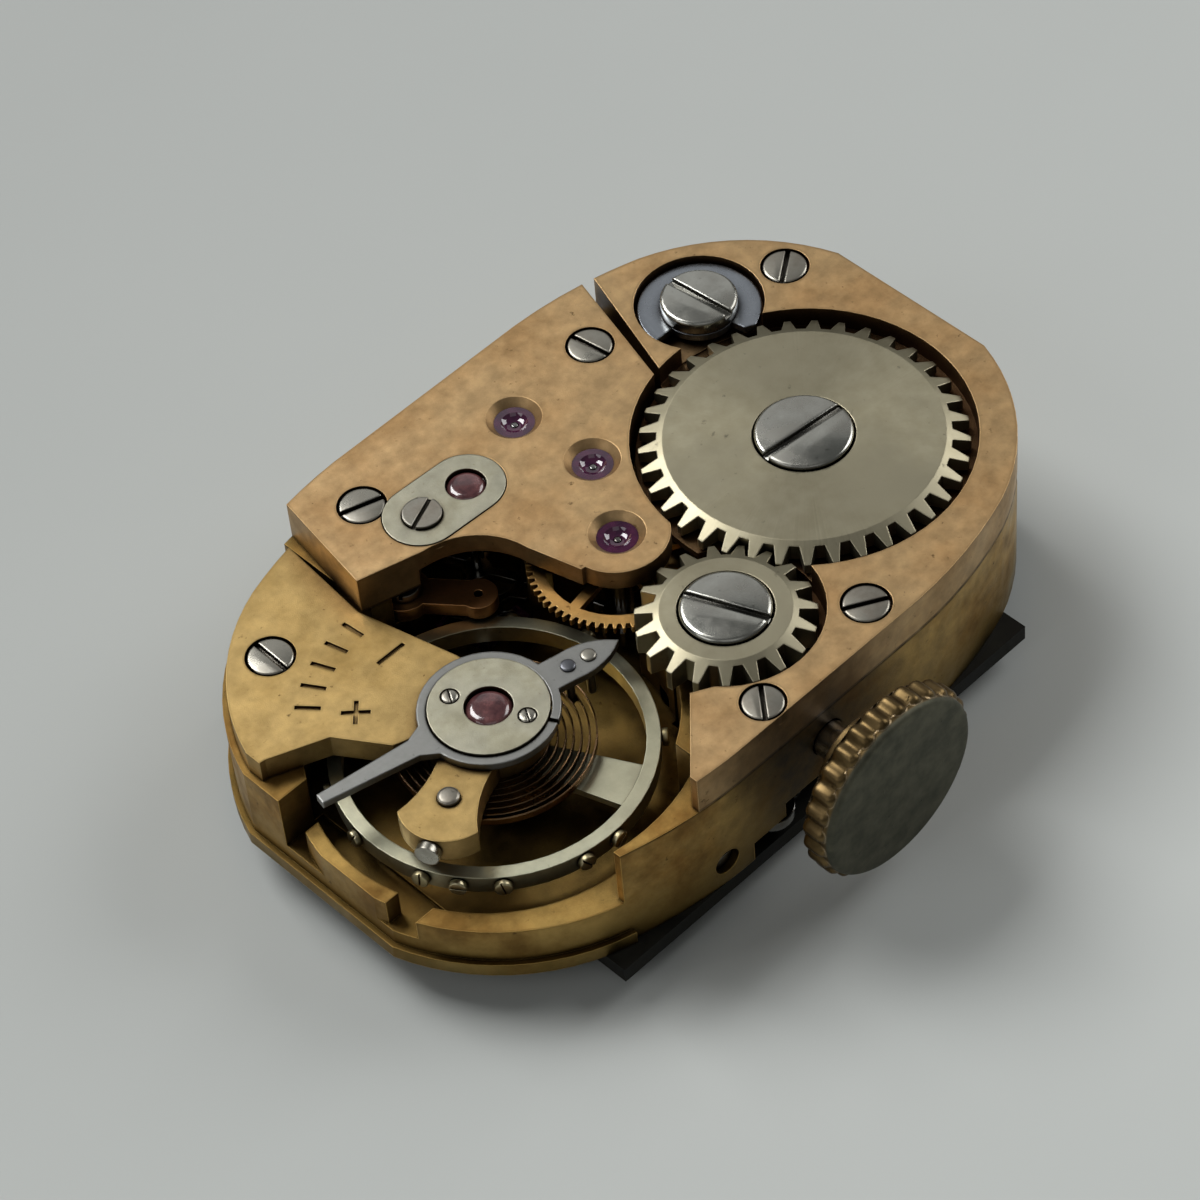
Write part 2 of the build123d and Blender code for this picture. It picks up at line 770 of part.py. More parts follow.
def barrel_bridge():
    """Bridge over the barrel with the recesses for the ratchet wheel, crown wheel and click."""
    high = top_z + overrun
    region = prism(from_shares(barrel_bridge_shares), plate_thick, top_z)
    region += cyl(ratchet_recess - bridge_gap, plate_thick, ratchet_z, barrel_axis)
    region += cyl(crown_pitch * 0.58, plate_thick, crown_wheel_z, crown_wheel_axis)
    bridge = tonneau(0, plate_thick, top_z) & region
    # The winding pinion comes up through the bridge to meet the crown wheel
    bore = winding_pinion_radius + side_gap
    bridge -= along_stem(bore, winding_pinion_start - side_gap, winding_pinion_end + side_gap)
    bridge -= cyl(ratchet_recess, ratchet_z - side_gap, high, barrel_axis)
    bridge -= cyl(crown_recess, crown_wheel_z - side_gap, high, crown_wheel_axis)
    bridge += cyl(core_radius, crown_wheel_z - side_gap - fit_gap, ratchet_z, crown_wheel_axis)
    bridge -= cyl(click_recess_radius, top_z - click_recess_depth, high, click_axis)
    wheel_room = centre_wheel_z + wheel_thick + side_gap
    bridge -= cyl(centre_tip + side_gap, plate_thick - overrun, wheel_room)
    for place, turn in barrel_screws:
        bridge -= screw_seat(place, head_radius)
    bridge -= screw_seat(setting_lever_axis, setting_head_radius)
    bridge -= cyl(arbor_pivot_radius + running, 0, top_z, barrel_axis)
    bridge -= cyl(shank_radius + fit_gap, 0, top_z, crown_wheel_axis)
    bridge -= cyl(shank_radius + fit_gap, top_z - bridge_thick * 0.9, top_z, click_axis)
    return bridge - train_bridge_blank(bridge_gap)


def screw_seat(place, radius):
    """Counterbore and hole for a bridge screw."""
    seat = cyl(radius + head_gap, top_z - head_thick, top_z + overrun, place)
    return seat + cyl(shank_radius + fit_gap, 0, top_z - head_thick, place)


def train_bridge_blank(grow=0):
    """Plan form of the train bridge as a slab, grown for a gap where asked."""
    start = from_shares(train_bridge_shares)
    waist = from_shares(train_bridge_waist_shares)
    edges = [Line(start[0], start[1]), Line(start[1], start[2])]
    edges.append(ThreePointArc(start[2], from_shares((train_bridge_arc_share,))[0], waist[0]))
    chain = waist + [start[0]]
    edges += [Line(a, b) for a, b in zip(chain, chain[1:])]
    slab = prism_of(edges, plate_thick, top_z)
    slab += cyl(lobe_radius, plate_thick, top_z)
    slab -= cyl(ratchet_recess - grow, 0, top_z + overrun, barrel_axis)
    slab -= cyl(crown_tip + side_gap - grow, 0, top_z + overrun, crown_wheel_axis)
    return slab & tonneau(0, plate_thick, top_z)


def train_bridge():
    """Bridge over the train with its jewel countersinks and the cap plate's seat."""
    bridge = train_bridge_blank()
    wheel_room = train_pocket_radius * 0.6
    for place, radius in (
        ((0, 0), centre_tip),
        (third_axis, wheel_room),
        (fourth_axis, wheel_room),
        (escape_axis, wheel_room),
        (pallet_axis, pallet_pocket_radius),
    ):
        bridge -= cyl(radius + side_gap, plate_thick - overrun, web_z, place)
    floor = top_z - countersink_depth
    profile = ((0, floor), (jewel_radius, floor), (countersink_radius, top_z), (0, top_z))
    for place in ((0, 0), third_axis, fourth_axis):
        bridge -= revolved(profile, place)
        bridge -= cyl(jewel_radius, jewel_low, top_z, place)
        bridge -= cyl(jewel_radius * 0.7, plate_thick, jewel_low, place)
    bridge -= cap_plate_form(cap_plate_half + fit_gap, floor, top_z + overrun)
    bridge -= cyl(jewel_radius * 0.8, plate_thick, top_z, escape_axis)
    bridge -= cyl(shank_radius * 0.8 + fit_gap, plate_thick, top_z, cap_plate_ends[0])
    for place, turn in train_screws:
        bridge -= screw_seat(place, head_radius)
    return bridge


def cap_plate_form(half, low, high):
    """Rounded-end plate between the cap jewel and its screw."""
    first, second = cap_plate_ends
    line = radians(bearing(first, second))
    across = (-sin(line) * half, cos(line) * half)
    corners = (
        (first[0] + across[0], first[1] + across[1]),
        (second[0] + across[0], second[1] + across[1]),
        (second[0] - across[0], second[1] - across[1]),
        (first[0] - across[0], first[1] - across[1]),
    )
    return prism(corners, low, high) + cyl(half, low, high, first) + cyl(half, low, high, second)


def escape_cap_plate():
    """Plate that holds the escape wheel's cap jewel."""
    floor = top_z - countersink_depth
    plate = cap_plate_form(cap_plate_half, floor, top_z + fit_gap)
    plate -= cyl(jewel_radius, 0, top_z + overrun, escape_axis)
    seat = top_z - countersink_depth / 2
    plate -= cyl(small_head_radius + fit_gap, seat, top_z + overrun, cap_plate_ends[0])
    return plate - cyl(shank_radius * 0.8 + fit_gap, 0, top_z, cap_plate_ends[0])


def escape_cap_jewel():
    return cyl(jewel_radius, top_z - countersink_depth, top_z, escape_axis)


def escape_cap_screw():
    low = top_z - countersink_depth / 2
    shank = shank_radius * 0.8
    high = top_z + head_proud
    return screw(cap_plate_ends[0], small_head_radius, low, high, shank, web_z, escape_cap_slot_turn)


def ring_jewel(place, radius, low, high):
    """Pierced jewel."""
    return cyl(radius, low, high, place) - cyl(jewel_hole, low - overrun, high + overrun, place)


def train_jewels():
    """Pierced jewels of the train bridge with their oil cups."""
    high = jewel_low + jewel_thick
    cup_floor = high - jewel_thick * 0.3
    solids = []
    for place in ((0, 0), third_axis, fourth_axis):
        cup = revolved(((0, cup_floor), (jewel_radius * 0.6, high), (0, high)), place)
        solids.append(ring_jewel(place, jewel_radius, jewel_low, high) - cup)
    return solids


def escape_upper_jewel():
    return ring_jewel(escape_axis, jewel_radius * 0.8, web_z + fit_gap, web_z + plate_jewel_thick)


def plate_jewels():
    low = sink_floor - plate_jewel_thick
    places = (third_axis, fourth_axis, escape_axis, pallet_axis, balance_axis)
    return [ring_jewel(p, plate_jewel_radius, low, sink_floor) for p in places]


def cock_outline(low, high):
    """Plan form of the balance cock with its boss and stud arm."""
    right = from_shares(cock_right_shares)
    notch = from_shares(cock_notch_shares)
    points = right + [polar(boss_radius * 0.8, a, balance_axis) for a in (40, 150)]
    points += notch + [(-2 * half_length, half_width), (-2 * half_length, 2 * half_width)]
    slab = prism(points, low, high) & tonneau(-cock_inset, low, high)
    return slab + cyl(boss_radius, low, high, balance_axis) + stud_arm(low, high)


def stud_arm(low, high):
    """Waisted arm with a bowed end that holds the hairspring stud."""
    neck = (boss_radius + arm_corner) / 2
    edges = [
        Line((0, -arm_neck_half), (boss_radius, -arm_neck_half)),
        ThreePointArc((boss_radius, -arm_neck_half), (neck, -arm_neck_half), (arm_corner, -arm_end_half)),
        ThreePointArc((arm_corner, -arm_end_half), (arm_reach, 0), (arm_corner, arm_end_half)),
        ThreePointArc((arm_corner, arm_end_half), (neck, arm_neck_half), (boss_radius, arm_neck_half)),
        Line((boss_radius, arm_neck_half), (0, arm_neck_half)),
        Line((0, arm_neck_half), (0, -arm_neck_half)),
    ]
    return Pos(*balance_axis, 0) * Rot(0, 0, stud_arm_angle) * prism_of(edges, low, high)


def on_stud_arm(shape):
    """Places a shape drawn along +X from the balance axis on the stud arm's line."""
    return Pos(*balance_axis, 0) * Rot(0, 0, stud_arm_angle) * shape


def balance_cock():
    """Cock over the balance with its screw seat, stud hole and index marks."""
    high = plate_thick + overrun
    cock = cock_outline(cock_z, plate_thick)
    cock -= cyl(head_radius + head_gap, plate_thick - head_thick, high, cock_screw[0])
    cock -= cyl(shank_radius + fit_gap, 0, plate_thick, cock_screw[0])
    cock -= cyl(plate_jewel_radius, 0, high, balance_axis)
    cock -= cyl(stud_radius + fit_gap, 0, high, stud_place)
    hole = Cylinder(cap_screw_radius, arm_reach, align=(Align.CENTER, Align.CENTER, Align.MIN))
    low = cock_z + cock_thick / 2
    cock -= on_stud_arm(Pos(stud_distance + stud_radius, 0, low) * Rot(0, 90, 0) * hole)
    for place in cap_screw_places():
        cock -= cyl(cap_shank_radius + fit_gap, 0, high, place)
    for place, turn, length in index_marks():
        half = length / 2
        floor = plate_thick - mark_depth
        stroke = block(-half, half, -mark_width / 2, mark_width / 2, floor, high)
        cock -= Pos(*place, 0) * Rot(0, 0, turn) * stroke
    return cock


def cap_screw_places():
    """The two screws of the end piece, on either side of its jewel."""
    return [polar(cap_screw_distance, cap_screw_angle + side, balance_axis) for side in (0, 180)]


def index_marks():
    """Strokes of the regulator's scale, a minus and a plus: place, direction and length."""
    first = balance_arm_angle - mark_step * (mark_count - 1) / 2
    angles = [first + k * mark_step for k in range(mark_count)]
    marks = [(polar(mark_radius, a, balance_axis), a, mark_length) for a in angles]
    marks.append((at_share(slow_mark_share), 0, slow_mark_length))
    for turn in (-45, 45):
        marks.append((at_share(fast_mark_share), turn, fast_mark_length))
    return marks


def cock_jewel():
    return ring_jewel(balance_axis, plate_jewel_radius, staff_top - plate_jewel_thick, staff_top)


def balance_cap_plate():
    """End piece over the balance pivot."""
    plate = cyl(cap_radius, plate_thick, cap_top, balance_axis)
    plate -= cyl(cap_jewel_radius, 0, top_z, balance_axis)
    for place in cap_screw_places():
        plate -= cyl(cap_screw_radius + fit_gap, cap_top - cap_thick / 2, top_z, place)
        plate -= cyl(cap_shank_radius + fit_gap, 0, top_z, place)
    return plate


def balance_cap_jewel():
    return cyl(cap_jewel_radius, plate_thick, cap_top - fit_gap, balance_axis)


def balance_cap_screws():
    low = cap_top - cap_thick / 2
    high = cap_top + fit_gap
    places = cap_screw_places()
    return [screw(p, cap_screw_radius, low, high, cap_shank_radius, cock_z, cap_slot_turn) for p in places]


def hairspring_stud():
    stud = cyl(stud_radius, cock_z, plate_thick + stud_proud, stud_place)
    return stud + cyl(stud_radius * 0.7, hairspring_z, cock_z, stud_place)


def stud_screw():
    """Side screw in the arm's end that clamps the stud."""
    low = cock_z + cock_thick / 2
    start = stud_distance + stud_radius + fit_gap
    foot = (Align.CENTER, Align.CENTER, Align.MIN)
    shank = Cylinder(cap_screw_radius - fit_gap, arm_reach - start, align=foot)
    head = Cylinder(cap_screw_radius * 1.4, head_proud * 2, align=foot)
    bar = Pos(start, 0, low) * Rot(0, 90, 0) * shank
    bar += Pos(arm_reach, 0, low) * Rot(0, 90, 0) * head
    return on_stud_arm(bar)


def regulator():
    """Split ring on the end piece with the long pointer and the curb pin arm."""
    ring = cyl(ring_outer, ring_low, ring_high)
    pointer = prism(
        (
            (ring_inner, -pointer_root_half * 1.7),
            (ring_outer + pointer_root_half, -pointer_root_half * 0.8),
            (pointer_reach, -pointer_tip_half),
            (pointer_reach, pointer_tip_half),
            (ring_outer + pointer_root_half, pointer_root_half * 0.8),
            (ring_inner, pointer_root_half * 1.7),
        ),
        ring_low,
        ring_high,
    )
    bulge = curb_outer + boot_half / 2
    bow = boot_half * 0.8
    boot_edges = [
        Line((ring_inner, -boot_half), (curb_inner, -boot_half)),
        ThreePointArc((curb_inner, -boot_half), (bulge, -bow), (boot_reach, 0)),
        ThreePointArc((boot_reach, 0), (bulge, bow), (curb_inner, boot_half)),
        Line((curb_inner, boot_half), (ring_inner, boot_half)),
        Line((ring_inner, boot_half), (ring_inner, -boot_half)),
    ]
    boot = prism_of(boot_edges, ring_low, ring_high)
    body = ring + Rot(0, 0, pointer_angle) * pointer + Rot(0, 0, boot_angle) * boot
    body -= cyl(ring_inner, 0, top_z)
    slit = block(0, ring_outer + overrun, -slit_half, slit_half, 0, top_z)
    body -= Rot(0, 0, slit_angle) * slit
    for radius in (curb_inner, curb_outer):
        body -= cyl(curb_radius, 0, top_z, polar(radius, boot_angle))
    return Pos(*balance_axis, 0) * body


def curb_pins():
    """Two pins that hold the outer coil between them."""
    solids = []
    for radius in (curb_inner, curb_outer):
        place = polar(radius, boot_angle, balance_axis)
        head = cyl(curb_radius, ring_low, ring_high + fit_gap, place)
        solids.append(head + cyl(curb_radius * 0.6, hairspring_z, ring_low, place))
    return solids


# Balance and its parts
def balance_wheel():
    """Two-armed rim whose arms widen towards it."""
    rim_top = balance_z + balance_rim_height
    wheel = cyl(balance_radius, balance_z, rim_top, balance_axis)
    wheel -= cyl(balance_radius - balance_rim, 0, top_z, balance_axis)
    arm_low = rim_top - balance_arm_thick - fit_gap * 2
    arm_high = arm_low + balance_arm_thick
    length = balance_radius - balance_rim / 2
    inner = balance_arm_hub / 2
    outer = balance_arm_end / 2
    blade = ((0, -inner), (length, -outer), (length, outer), (0, inner))
    for turn in (balance_arm_angle, balance_arm_angle + 180):
        wheel += Pos(*balance_axis, 0) * Rot(0, 0, turn) * prism(blade, arm_low, arm_high)
    wheel += cyl(roller_radius, arm_low, arm_high, balance_axis)
    return wheel - cyl(staff_radius, 0, top_z, balance_axis)


def balance_screws():
    """Timing screws round the rim, unevenly grouped as poised."""
    middle = balance_z + balance_rim_height / 2
    head = extrude(RegularPolygon(balance_screw_radius, screw_sides), amount=balance_screw_proud)
    head = Pos(balance_radius, 0, 0) * Rot(0, 90, 0) * head
    return [Pos(*balance_axis, middle) * Rot(0, 0, angle) * head for angle in screw_angles]


def balance_staff():
    rim_top = balance_z + balance_rim_height
    low = sink_floor - plate_jewel_thick + fit_gap
    staff = cyl(staff_radius, sink_floor + fit_gap, cock_z - fit_gap, balance_axis)
    staff += cyl(pivot_radius, low, staff_top - fit_gap, balance_axis)
    shoulder = cyl(collet_radius, rim_top - fit_gap, rim_top + side_gap / 2, balance_axis)
    return staff + shoulder


def roller():
    table = cyl(roller_radius, roller_z, roller_z + roller_thick, balance_axis)
    return table - cyl(staff_radius, 0, top_z, balance_axis)


def impulse_jewel():
    place = polar(impulse_radius, lever_line + 180, balance_axis)
    return cyl(impulse_pin_radius, lever_z, roller_z, place)


def collet():
    ring = cyl(collet_radius, hairspring_z, hairspring_z + hairspring_height, balance_axis)
    return ring - cyl(staff_radius, 0, top_z, balance_axis)


def hairspring():
    """Coiled from the collet to the stud as one strip."""
    inner = collet_radius + fit_gap + hairspring_strip / 2
    low = hairspring_z
    coil, gap = spiral(
        inner,
        curb_middle,
        hairspring_turns,
        hairspring_strip,
        low,
        low + hairspring_height,
        balance_axis,
        boot_angle,
        boot_angle + 360 - stud_arm_angle - stud_angle_gap,
        mirrored=True,
    )
    print("least gap of the hairspring to itself, mm:", round(gap, 3))
    return coil


# Escapement
def escape_wheel():
    """Fifteen club teeth that lean the way the wheel turns."""
    step = 360 / escape_teeth
    points = []
    for k in range(escape_teeth):
        base = k * step
        points.append(polar(escape_root_radius, base, escape_axis))
        points.append(polar(escape_radius * 0.97, base + step * 0.34, escape_axis))
        points.append(polar(escape_radius, base + step * 0.52, escape_axis))
        points.append(polar(escape_root_radius * 1.06, base + step * 0.46, escape_axis))
        points.append(polar(escape_root_radius, base + step * 0.62, escape_axis))
    low = escape_wheel_z
    wheel = prism(points, low, low + wheel_thick)
    hub = arbor_thin * 3
    inner = escape_root_radius * rim_share
    wheel = crossed(wheel, inner, hub, 4, arbor_thin, low, low + wheel_thick, escape_axis, step)
    return wheel - cyl(arbor_thin, 0, top_z, escape_axis)


def escape_pinion():
    toward = bearing(escape_axis, fourth_axis)
    low = fourth_wheel_z - wheel_thick
    return leafed_arbor(escape_leaves, fourth_module, low, low + wheel_thick * 3, escape_axis, toward)


def leafed_arbor(leaves, module, low, high, place, toward):
    """Arbor with its leaves and both pivots."""
    arbor = gear(leaves, module, low, high, place, toward, tooth_faces=False)
    pivot_low = sink_floor - plate_jewel_thick + fit_gap
    arbor += cyl(arbor_thin, sink_floor + fit_gap, web_z - fit_gap, place)
    return arbor + cyl(pivot_radius, pivot_low, jewel_low + jewel_thick * 0.7, place)


def pallet_fork():
    """Lever with two stone arms and a notch for the impulse jewel."""
    low = lever_z
    high = lever_z + lever_thick
    reach = lever_length - impulse_radius + impulse_pin_radius
    half = lever_width / 2
    tip = reach + lever_width
    outer = slot_width / 2 + lever_width * 0.6
    side = ((0, half), (reach * 0.86, half * 0.8), (reach * 0.92, outer), (tip, outer))
    outline = side + tuple((x, -y) for x, y in reversed(side))
    fork = prism(outline, low, high)
    notch = slot_width / 2
    fork -= block(reach - lever_width, tip + lever_width, -notch, notch, low - overrun, high + overrun)
    body = Pos(*pallet_axis, 0) * Rot(0, 0, lever_line) * fork
    body += cyl(lever_width, low, high, pallet_axis)
    arm_half = lever_width * 0.75
    for which in (-1, 1):
        stone = stone_place(which)
        span = apart(pallet_axis, stone) + stone_width * 0.2
        arm = block(0, span, -arm_half, arm_half, low, high)
        body += Pos(*pallet_axis, 0) * Rot(0, 0, bearing(pallet_axis, stone)) * arm
    for which in (-1, 1):
        body -= pallet_stone(which, fit_gap / 4)
    body -= cyl(arbor_thin, 0, top_z, pallet_axis)
    return max(body.solids(), key=lambda solid: solid.volume)


def stone_place(side):
    """Middle of a pallet stone beside the escape wheel's teeth."""
    return polar(escape_radius + stone_length * 0.36, pallet_line + side * stone_angle, escape_axis)


def pallet_stone(side, grow=0):
    low = lever_z - grow
    high = lever_z + lever_thick + grow
    half = stone_width / 2 + grow
    long = stone_length / 2 + grow
    stone = block(-long, long, -half, half, low, high)
    return Pos(*stone_place(side), 0) * Rot(0, 0, pallet_line + side * (stone_angle + 8)) * stone


def pallet_stones():
    return [pallet_stone(-1), pallet_stone(1)]


def pallet_arbor():
    low = sink_floor - plate_jewel_thick + fit_gap
    arbor = cyl(arbor_thin, sink_floor + fit_gap, pallet_bridge_z - fit_gap, pallet_axis)
    return arbor + cyl(pivot_radius, low, pallet_bridge_z + pallet_bridge_thick * 0.6, pallet_axis)


def pallet_bridge_form(grow, low, high):
    """Plan form of the pallet bridge between two heights."""
    line = bearing(pallet_axis, pallet_foot)
    half = pallet_bar_half + grow
    bar = block(0, apart(pallet_axis, pallet_foot), -half, half, low, high)
    form = Pos(*pallet_axis, 0) * Rot(0, 0, line) * bar
    form += cyl(pallet_eye_radius + grow, low, high, pallet_axis)
    return form + cyl(pallet_foot_radius + grow, low, high, pallet_foot)


def pallet_bridge():
    """Small cock over the pallet arbor."""
    bridge = pallet_bridge_form(0, pallet_bridge_z, pallet_bridge_z + pallet_bridge_thick)
    bridge -= cyl(pivot_radius + running, 0, top_z, pallet_axis)
    return bridge - cyl(small_shank_radius + fit_gap, 0, top_z, pallet_foot)


def pallet_bridge_screw():
    low = pallet_bridge_z + pallet_bridge_thick
    high = low + head_thick * 0.7
    foot = sink_floor + fit_gap
    return screw(pallet_foot, small_head_radius * 0.9, low, high, small_shank_radius, foot, pallet_slot_turn)


# Going train
def centre_wheel():
    low = centre_wheel_z
    high = low + wheel_thick
    wheel = gear(centre_wheel_teeth, centre_module, low, high, (0, 0), bearing((0, 0), third_axis))
    rim_inner = centre_module * centre_wheel_teeth / 2 * rim_share
    hub = centre_arbor_radius * 2.2
    wheel = crossed(wheel, rim_inner, hub, 5, arbor_thin * 1.1, low, high, (0, 0), centre_spoke_turn)
    return wheel - cyl(centre_neck_radius, 0, top_z)


def centre_arbor():
    toward = bearing((0, 0), barrel_axis)
    low = barrel_z + fit_gap
    high = low + barrel_tooth_height * 1.5
    arbor = gear(centre_leaves, barrel_module, low, high, (0, 0), toward, tooth_faces=False)
    neck_low = third_wheel_z - side_gap
    arbor += cyl(centre_arbor_radius, -cannon_reach + fit_gap, neck_low)
    arbor += cyl(centre_neck_radius, neck_low, web_z - fit_gap)
    return arbor + cyl(pivot_radius, web_z - fit_gap, jewel_low + jewel_thick * 0.7)


def third_wheel():
    toward = bearing(third_axis, fourth_axis)
    return train_wheel(third_wheel_teeth, third_module, third_wheel_z, third_axis, toward)


def train_wheel(teeth, module, low, place, toward):
    """Spoked wheel of the train with a bore for its arbor."""
    high = low + wheel_thick
    wheel = fine_gear(teeth, module, low, high, place, toward)
    rim_inner = module * teeth / 2 * rim_share
    wheel = crossed(wheel, rim_inner, arbor_thin * 3, 4, arbor_thin, low, high, place, toward + 45)
    return wheel - cyl(arbor_thin, 0, top_z, place)


def third_pinion():
    low = third_wheel_z + wheel_thick + fit_gap
    high = centre_wheel_z + wheel_thick + fit_gap
    return leafed_arbor(third_leaves, centre_module, low, high, third_axis, bearing(third_axis, (0, 0)))


def fourth_wheel():
    toward = bearing(fourth_axis, escape_axis)
    return train_wheel(fourth_wheel_teeth, fourth_module, fourth_wheel_z, fourth_axis, toward)


def fourth_pinion():
    low = third_wheel_z - wheel_thick / 2
    high = third_wheel_z + wheel_thick * 1.5
    toward = bearing(fourth_axis, third_axis)
    return leafed_arbor(fourth_leaves, third_module, low, high, fourth_axis, toward)


# Barrel
def barrel_drum():
    toward = bearing(barrel_axis, (0, 0))
    low = barrel_z
    drum = fine_gear(barrel_teeth, barrel_module, low, low + barrel_tooth_height, barrel_axis, toward)
    drum += cyl(drum_radius, low, cover_z, barrel_axis)
    drum -= cyl(drum_radius - drum_wall, low + drum_wall, cover_z + overrun, barrel_axis)
    return drum - cyl(arbor_pivot_radius + running, 0, top_z, barrel_axis)


def barrel_cover():
    cover = cyl(drum_radius, cover_z, cover_z + cover_thick, barrel_axis)
    return cover - cyl(arbor_pivot_radius + running, 0, top_z, barrel_axis)


def mainspring():
    low = barrel_z + drum_wall + side_gap
    inner = arbor_radius + side_gap + mainspring_strip / 2
    outer = drum_radius - drum_wall - side_gap - mainspring_strip
    high = low + mainspring_height
    coil, gap = spiral(inner, outer, mainspring_turns, mainspring_strip, low, high, barrel_axis)
    print("least gap of the mainspring to itself, mm:", round(gap, 3))
    return coil


def barrel_arbor():
    """Arbor through the barrel, squared above for the ratchet wheel."""
    low = barrel_z + drum_wall + fit_gap
    square_low = ratchet_z - fit_gap
    arbor = cyl(arbor_radius, low, cover_z - fit_gap, barrel_axis)
    arbor += cyl(arbor_pivot_radius, barrel_z - side_gap / 2, square_low, barrel_axis)
    arbor += cyl(arbor_pivot_radius * 0.6, motion_depth, barrel_z, barrel_axis)
    side = arbor_square_half
    arbor += Pos(*barrel_axis, 0) * block(-side, side, -side, side, square_low, top_z - big_head_thick)
    return arbor - cyl(shank_radius, ratchet_z, top_z + overrun, barrel_axis)


# Winding work
def bevelled(wheel, face_radius, tip, place):
    """Takes the upper edge of the teeth down in a bevel."""
    reach = tip + overrun
    low = top_z - bevel_drop * (reach - face_radius) / (tip - face_radius)
    return wheel - revolved(((face_radius, top_z), (reach, top_z), (reach, low)), place)


def ratchet_wheel():
    toward = bearing(barrel_axis, crown_wheel_axis)
    wheel = gear(
        ratchet_teeth, winding_module, ratchet_z, top_z, barrel_axis, toward, tip_share=winding_tip_share
    )
    wheel = bevelled(wheel, ratchet_face_radius, ratchet_tip, barrel_axis)
    side = arbor_square_half + fit_gap
    wheel -= Pos(*barrel_axis, 0) * block(-side, side, -side, side, 0, top_z)
    low = top_z - big_head_thick
    return wheel - cyl(ratchet_screw_radius + head_gap, low, top_z + overrun, barrel_axis)


def ratchet_screw():
    low = top_z - big_head_thick
    high = top_z + head_proud
    shank = shank_radius - fit_gap
    return screw(barrel_axis, ratchet_screw_radius, low, high, shank, ratchet_z + fit_gap, ratchet_slot_turn)


def crown_wheel():
    toward = bearing(crown_wheel_axis, barrel_axis)
    wheel = gear(
        crown_teeth, winding_module, crown_wheel_z, top_z, crown_wheel_axis, toward, False, winding_tip_share
    )
    wheel = bevelled(wheel, crown_face_radius, crown_tip, crown_wheel_axis)
    wheel -= cyl(core_radius + running, 0, top_z + overrun, crown_wheel_axis)
    return wheel - cyl(crown_screw_radius + head_gap, ratchet_z + fit_gap, top_z + overrun, crown_wheel_axis)


def crown_wheel_screw():
    low = ratchet_z + fit_gap * 3
    high = top_z + head_proud
    foot = plate_thick + fit_gap
    return screw(crown_wheel_axis, crown_screw_radius, low, high, shank_radius, foot, crown_wheel_slot_turn)


def winding_pinion():
    """Toothed pinion that meets the crown wheel, with ratchet teeth towards the sliding pinion."""
    root = winding_pinion_radius * 0.78
    ring = tooth_ring(winding_pinion_teeth, winding_pinion_radius, root, 90)
    body = stem_ring(ring, winding_pinion_start, winding_pinion_length)
    face = tooth_ring(breguet_teeth, clutch_radius, clutch_radius * 0.72, 0, 0.2, 0.26)
    body += stem_ring(face, winding_pinion_start - breguet_depth + fit_gap, breguet_depth)
    return body - along_stem(stem_core_radius + running, 0, half_width)


def sliding_pinion():
    """Grooved sleeve that slides on the stem's square."""
    body = along_stem(clutch_radius, clutch_start + breguet_depth, clutch_start + clutch_length)
    teeth = tooth_ring(clutch_teeth, clutch_radius, clutch_radius * 0.8, 90)
    body += stem_ring(teeth, clutch_start, breguet_depth)
    groove_end = clutch_groove_start + clutch_groove_width
    groove = along_stem(clutch_radius + overrun, clutch_groove_start, groove_end)
    body -= groove - along_stem(clutch_groove_radius, clutch_start, groove_end + overrun)
    side = stem_square_half + running
    return body - block(-side, side, -half_width, 0, stem_z - side, stem_z + side)


def winding_stem():
    """Stem with its pilot, square, journal, groove for the setting lever and thread."""
    side = stem_square_half
    stem = along_stem(stem_pilot_radius, stem_pilot_end, clutch_start)
    stem += block(-side, side, -winding_pinion_start, -clutch_start, stem_z - side, stem_z + side)
    stem += along_stem(stem_core_radius, winding_pinion_start, winding_pinion_end)
    stem += along_stem(stem_thread_radius, winding_pinion_end, crown_back)
    body = along_stem(stem_radius, winding_pinion_end + side_gap, hub_end)
    groove_end = groove_start + stem_groove_width
    groove = along_stem(stem_radius + overrun, groove_start, groove_end)
    body -= groove - along_stem(stem_thread_radius, winding_pinion_end, groove_end + overrun)
    return stem + body


def crown():
    """Fluted winding crown with a bevelled face and a hub towards the movement."""
    flutes = tooth_ring(crown_flutes, crown_radius, crown_radius - knurl_depth, 0, 0.2, 0.34)
    body = stem_ring(flutes, crown_back, crown_thick)
    rim = crown_thick - crown_bevel
    profile = (
        (0, 0),
        (crown_radius - knurl_depth, 0),
        (crown_radius, crown_bevel / 2),
        (crown_radius, rim),
        (crown_radius - knurl_depth * 1.2, crown_thick),
        (0, crown_thick),
    )
    blank = revolve(make_face(Polyline(*profile, close=True)), Axis.Y)
    body &= Pos(0, -crown_back, stem_z) * Rot(0, 0, 180) * blank
    body += along_stem(crown_hub_radius, hub_end, crown_back)
    return body - along_stem(stem_thread_radius, 0, crown_back) - along_stem(stem_radius, 0, hub_end)


def click():
    """Click that fills its recess but for a sector, with its beak clear of the ratchet teeth."""
    high = click_z + click_thick
    body = cyl(click_recess_radius - side_gap, click_z, high, click_axis)
    body -= cyl(ratchet_tip + side_gap / 2, 0, high + overrun, barrel_axis)
    reach = click_recess_radius * 2
    middle = (click_gap_start + click_gap_end) / 2
    turns = (click_gap_start, middle, click_gap_end)
    body -= prism([click_axis] + [polar(reach, a, click_axis) for a in turns], click_z, high)
    body += cyl(click_head_radius, click_z, high, click_axis)
    body -= cyl(ratchet_tip + side_gap / 2, 0, high + overrun, barrel_axis)
    return body - cyl(shank_radius + running, 0, high + overrun, click_axis)


